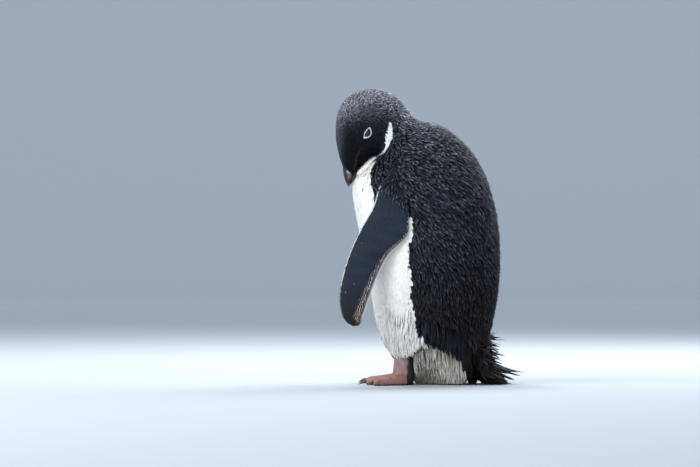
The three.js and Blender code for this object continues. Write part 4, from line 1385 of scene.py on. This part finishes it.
def bill_tone(points, turn, upper):
    """The sheath's colours: slate along the ridge, where the turn is near 0; pale next to it
    by the feathers, a painted highlight, through reddish brown to a dark end with an amber tip;
    the lower jaw is nearly black, with a reddish cutting edge."""
    down = smooth(351, 316, points[:, 2])
    off_ridge = np.minimum(turn, 1 - turn) * 2 + 0.03 * wobble(points, 5, 31)
    if not upper:
        return mixed(BILL_RED * 0.7, BILL_DARK, smooth(0.16, 0.42, off_ridge))
    # BILL_PALE_HIGHLIGHT is a painted highlight on the side of the upper bill by the feathers.
    side_tone = mixed(BILL_PALE_HIGHLIGHT, BILL_RED, smooth(0.12, 0.5, down + 0.45 * (off_ridge - 0.5)))
    side_tone = mixed(side_tone, BILL_RED * 0.5, smooth(0.5, 0.8, off_ridge))
    side_tone = mixed(side_tone, RIDGE, smooth(0.46, 0.34, off_ridge - 0.12 * down))
    side_tone = mixed(side_tone, BILL_DARK, smooth(0.62, 0.85, down))
    return mixed(side_tone, BILL_TIP, smooth(0.9, 1.03, down) * 0.75)


horn, shader, place = material("bill_horn", Specular_IOR_Level=0.45)
colour = place.node("ShaderNodeAttribute", attribute_name="marking")
grain = place.noise(260.0, 4.0)
tone = colour.tinted(grain * 0.8, (0.42, 0.36, 0.36))
feed(shader, Base_Color=tone, Roughness=grain * 0.25 + 0.26, Normal=grain.bump(0.25, 0.001))
turn = np.arange(BILL_AROUND) / BILL_AROUND
every_turn = np.concatenate([np.tile(turn, BILL_RINGS), [0.5, 0.5]])  # and the two ends' middles
for name, rows in (("bill_upper", UPPER_BILL), ("bill_lower", LOWER_BILL)):
    sheath = lofted(name + "_sheath", form(rows), BILL_RINGS, BILL_AROUND)
    sheath.data.materials.append(horn)
    mark(sheath, "POINT", bill_tone(points_of(sheath), every_turn, name == "bill_upper"))
    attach(sheath, "root")
    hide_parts(name)

# ---------------------------------------------------------------- eyes
# Dark wet balls set in the lids. A black pupil and a brown-black iris, which darkens again
# outwards, lie under a clear gloss that varies a little from place to place.

IRIS = 6.25  # mm, how far out the colours go from the ball's axis
PUPIL_BLACK, IRIS_BROWN, IRIS_RIM = linear(3, 3, 4), linear(20, 15, 15), linear(6, 6, 8)

eye_gloss, shader, place = material(
    "eye_gloss", Roughness=0.12, Specular_IOR_Level=0.3, Coat_Roughness=0.04
)
for side, sign in SIDES.items():
    around = np.linspace(0, 2 * np.pi, 64, endpoint=False)
    turn, lift = np.meshgrid(around, np.linspace(0.02, np.pi - 0.02, 48))
    ball = np.stack([np.sin(lift) * np.cos(turn), np.cos(lift), np.sin(lift) * np.sin(turn)], -1)
    points, faces = closed_tube(EYE * [1, sign, 1] + EYE_RADIUS * ball)
    eye = put_mesh("eyeball_" + side, points, faces, eye_gloss)
    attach(eye, "root")
    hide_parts("eye_" + side)
x, z = (place.axis(k) - EYE[k] * MM for k in (0, 2))
from_axis = (x * x + z * z).math("SQRT")
streaks = place.noise(900.0, 2.0)
iris = (from_axis * (1 / (IRIS * MM)) + streaks * 0.1).ramp(
    (0.0, PUPIL_BLACK), (0.36, PUPIL_BLACK), (0.44, IRIS_BROWN), (1.0, IRIS_RIM)
)
feed(shader, Base_Color=iris, Coat_Weight=streaks * 0.1 + 0.25)

# ---------------------------------------------------------------- claws
# Each toe ends in a strong curved claw of dark horn, which is paler and worn where it comes
# near the floor. The claws are turned and slimmed with their toes.

claw_horn, shader, place = material("claw_horn")
grain = place.noise(300.0, 3.0)
tone = (place.axis(2) * 120.0 + (grain - 0.5) * 0.4).ramp(
    (0.1, linear(150, 136, 120)), (0.4, linear(74, 62, 56)), (0.9, linear(34, 28, 28))
)
feed(shader, Base_Color=tone, Roughness=grain * 0.3 + 0.25, Normal=grain.bump(0.2, 0.0005))


def claw_rows(length, claw):
    """A claw from inside the toe's end forwards and down to a blunt point."""
    return form([
        (-length + 4, 7.6, -length + 4, 2.6, 2.2, 0, 2),
        (-length - 1, 8.0, -length - 1, 2.6, 2.5, 0, 2),
        (-length - 0.5 * claw, 6.4, -length - 0.45 * claw, 2.2, 1.9, 0, 2),
        (-length - claw, 1.4, -length - 0.95 * claw, 0.7, 0.5, 0, 2),
    ])


for side, sign in SIDES.items():
    for toe, (turn, length, claw, slim) in TOES.items():
        name = f"claw_{toe}_{side}"
        shell = lofted(name + "_horn", from_ankle(claw_rows(length, claw), turn, slim, sign), 32, 24)
        shell.data.materials.append(claw_horn)
        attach(shell, "root")
        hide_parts(name)
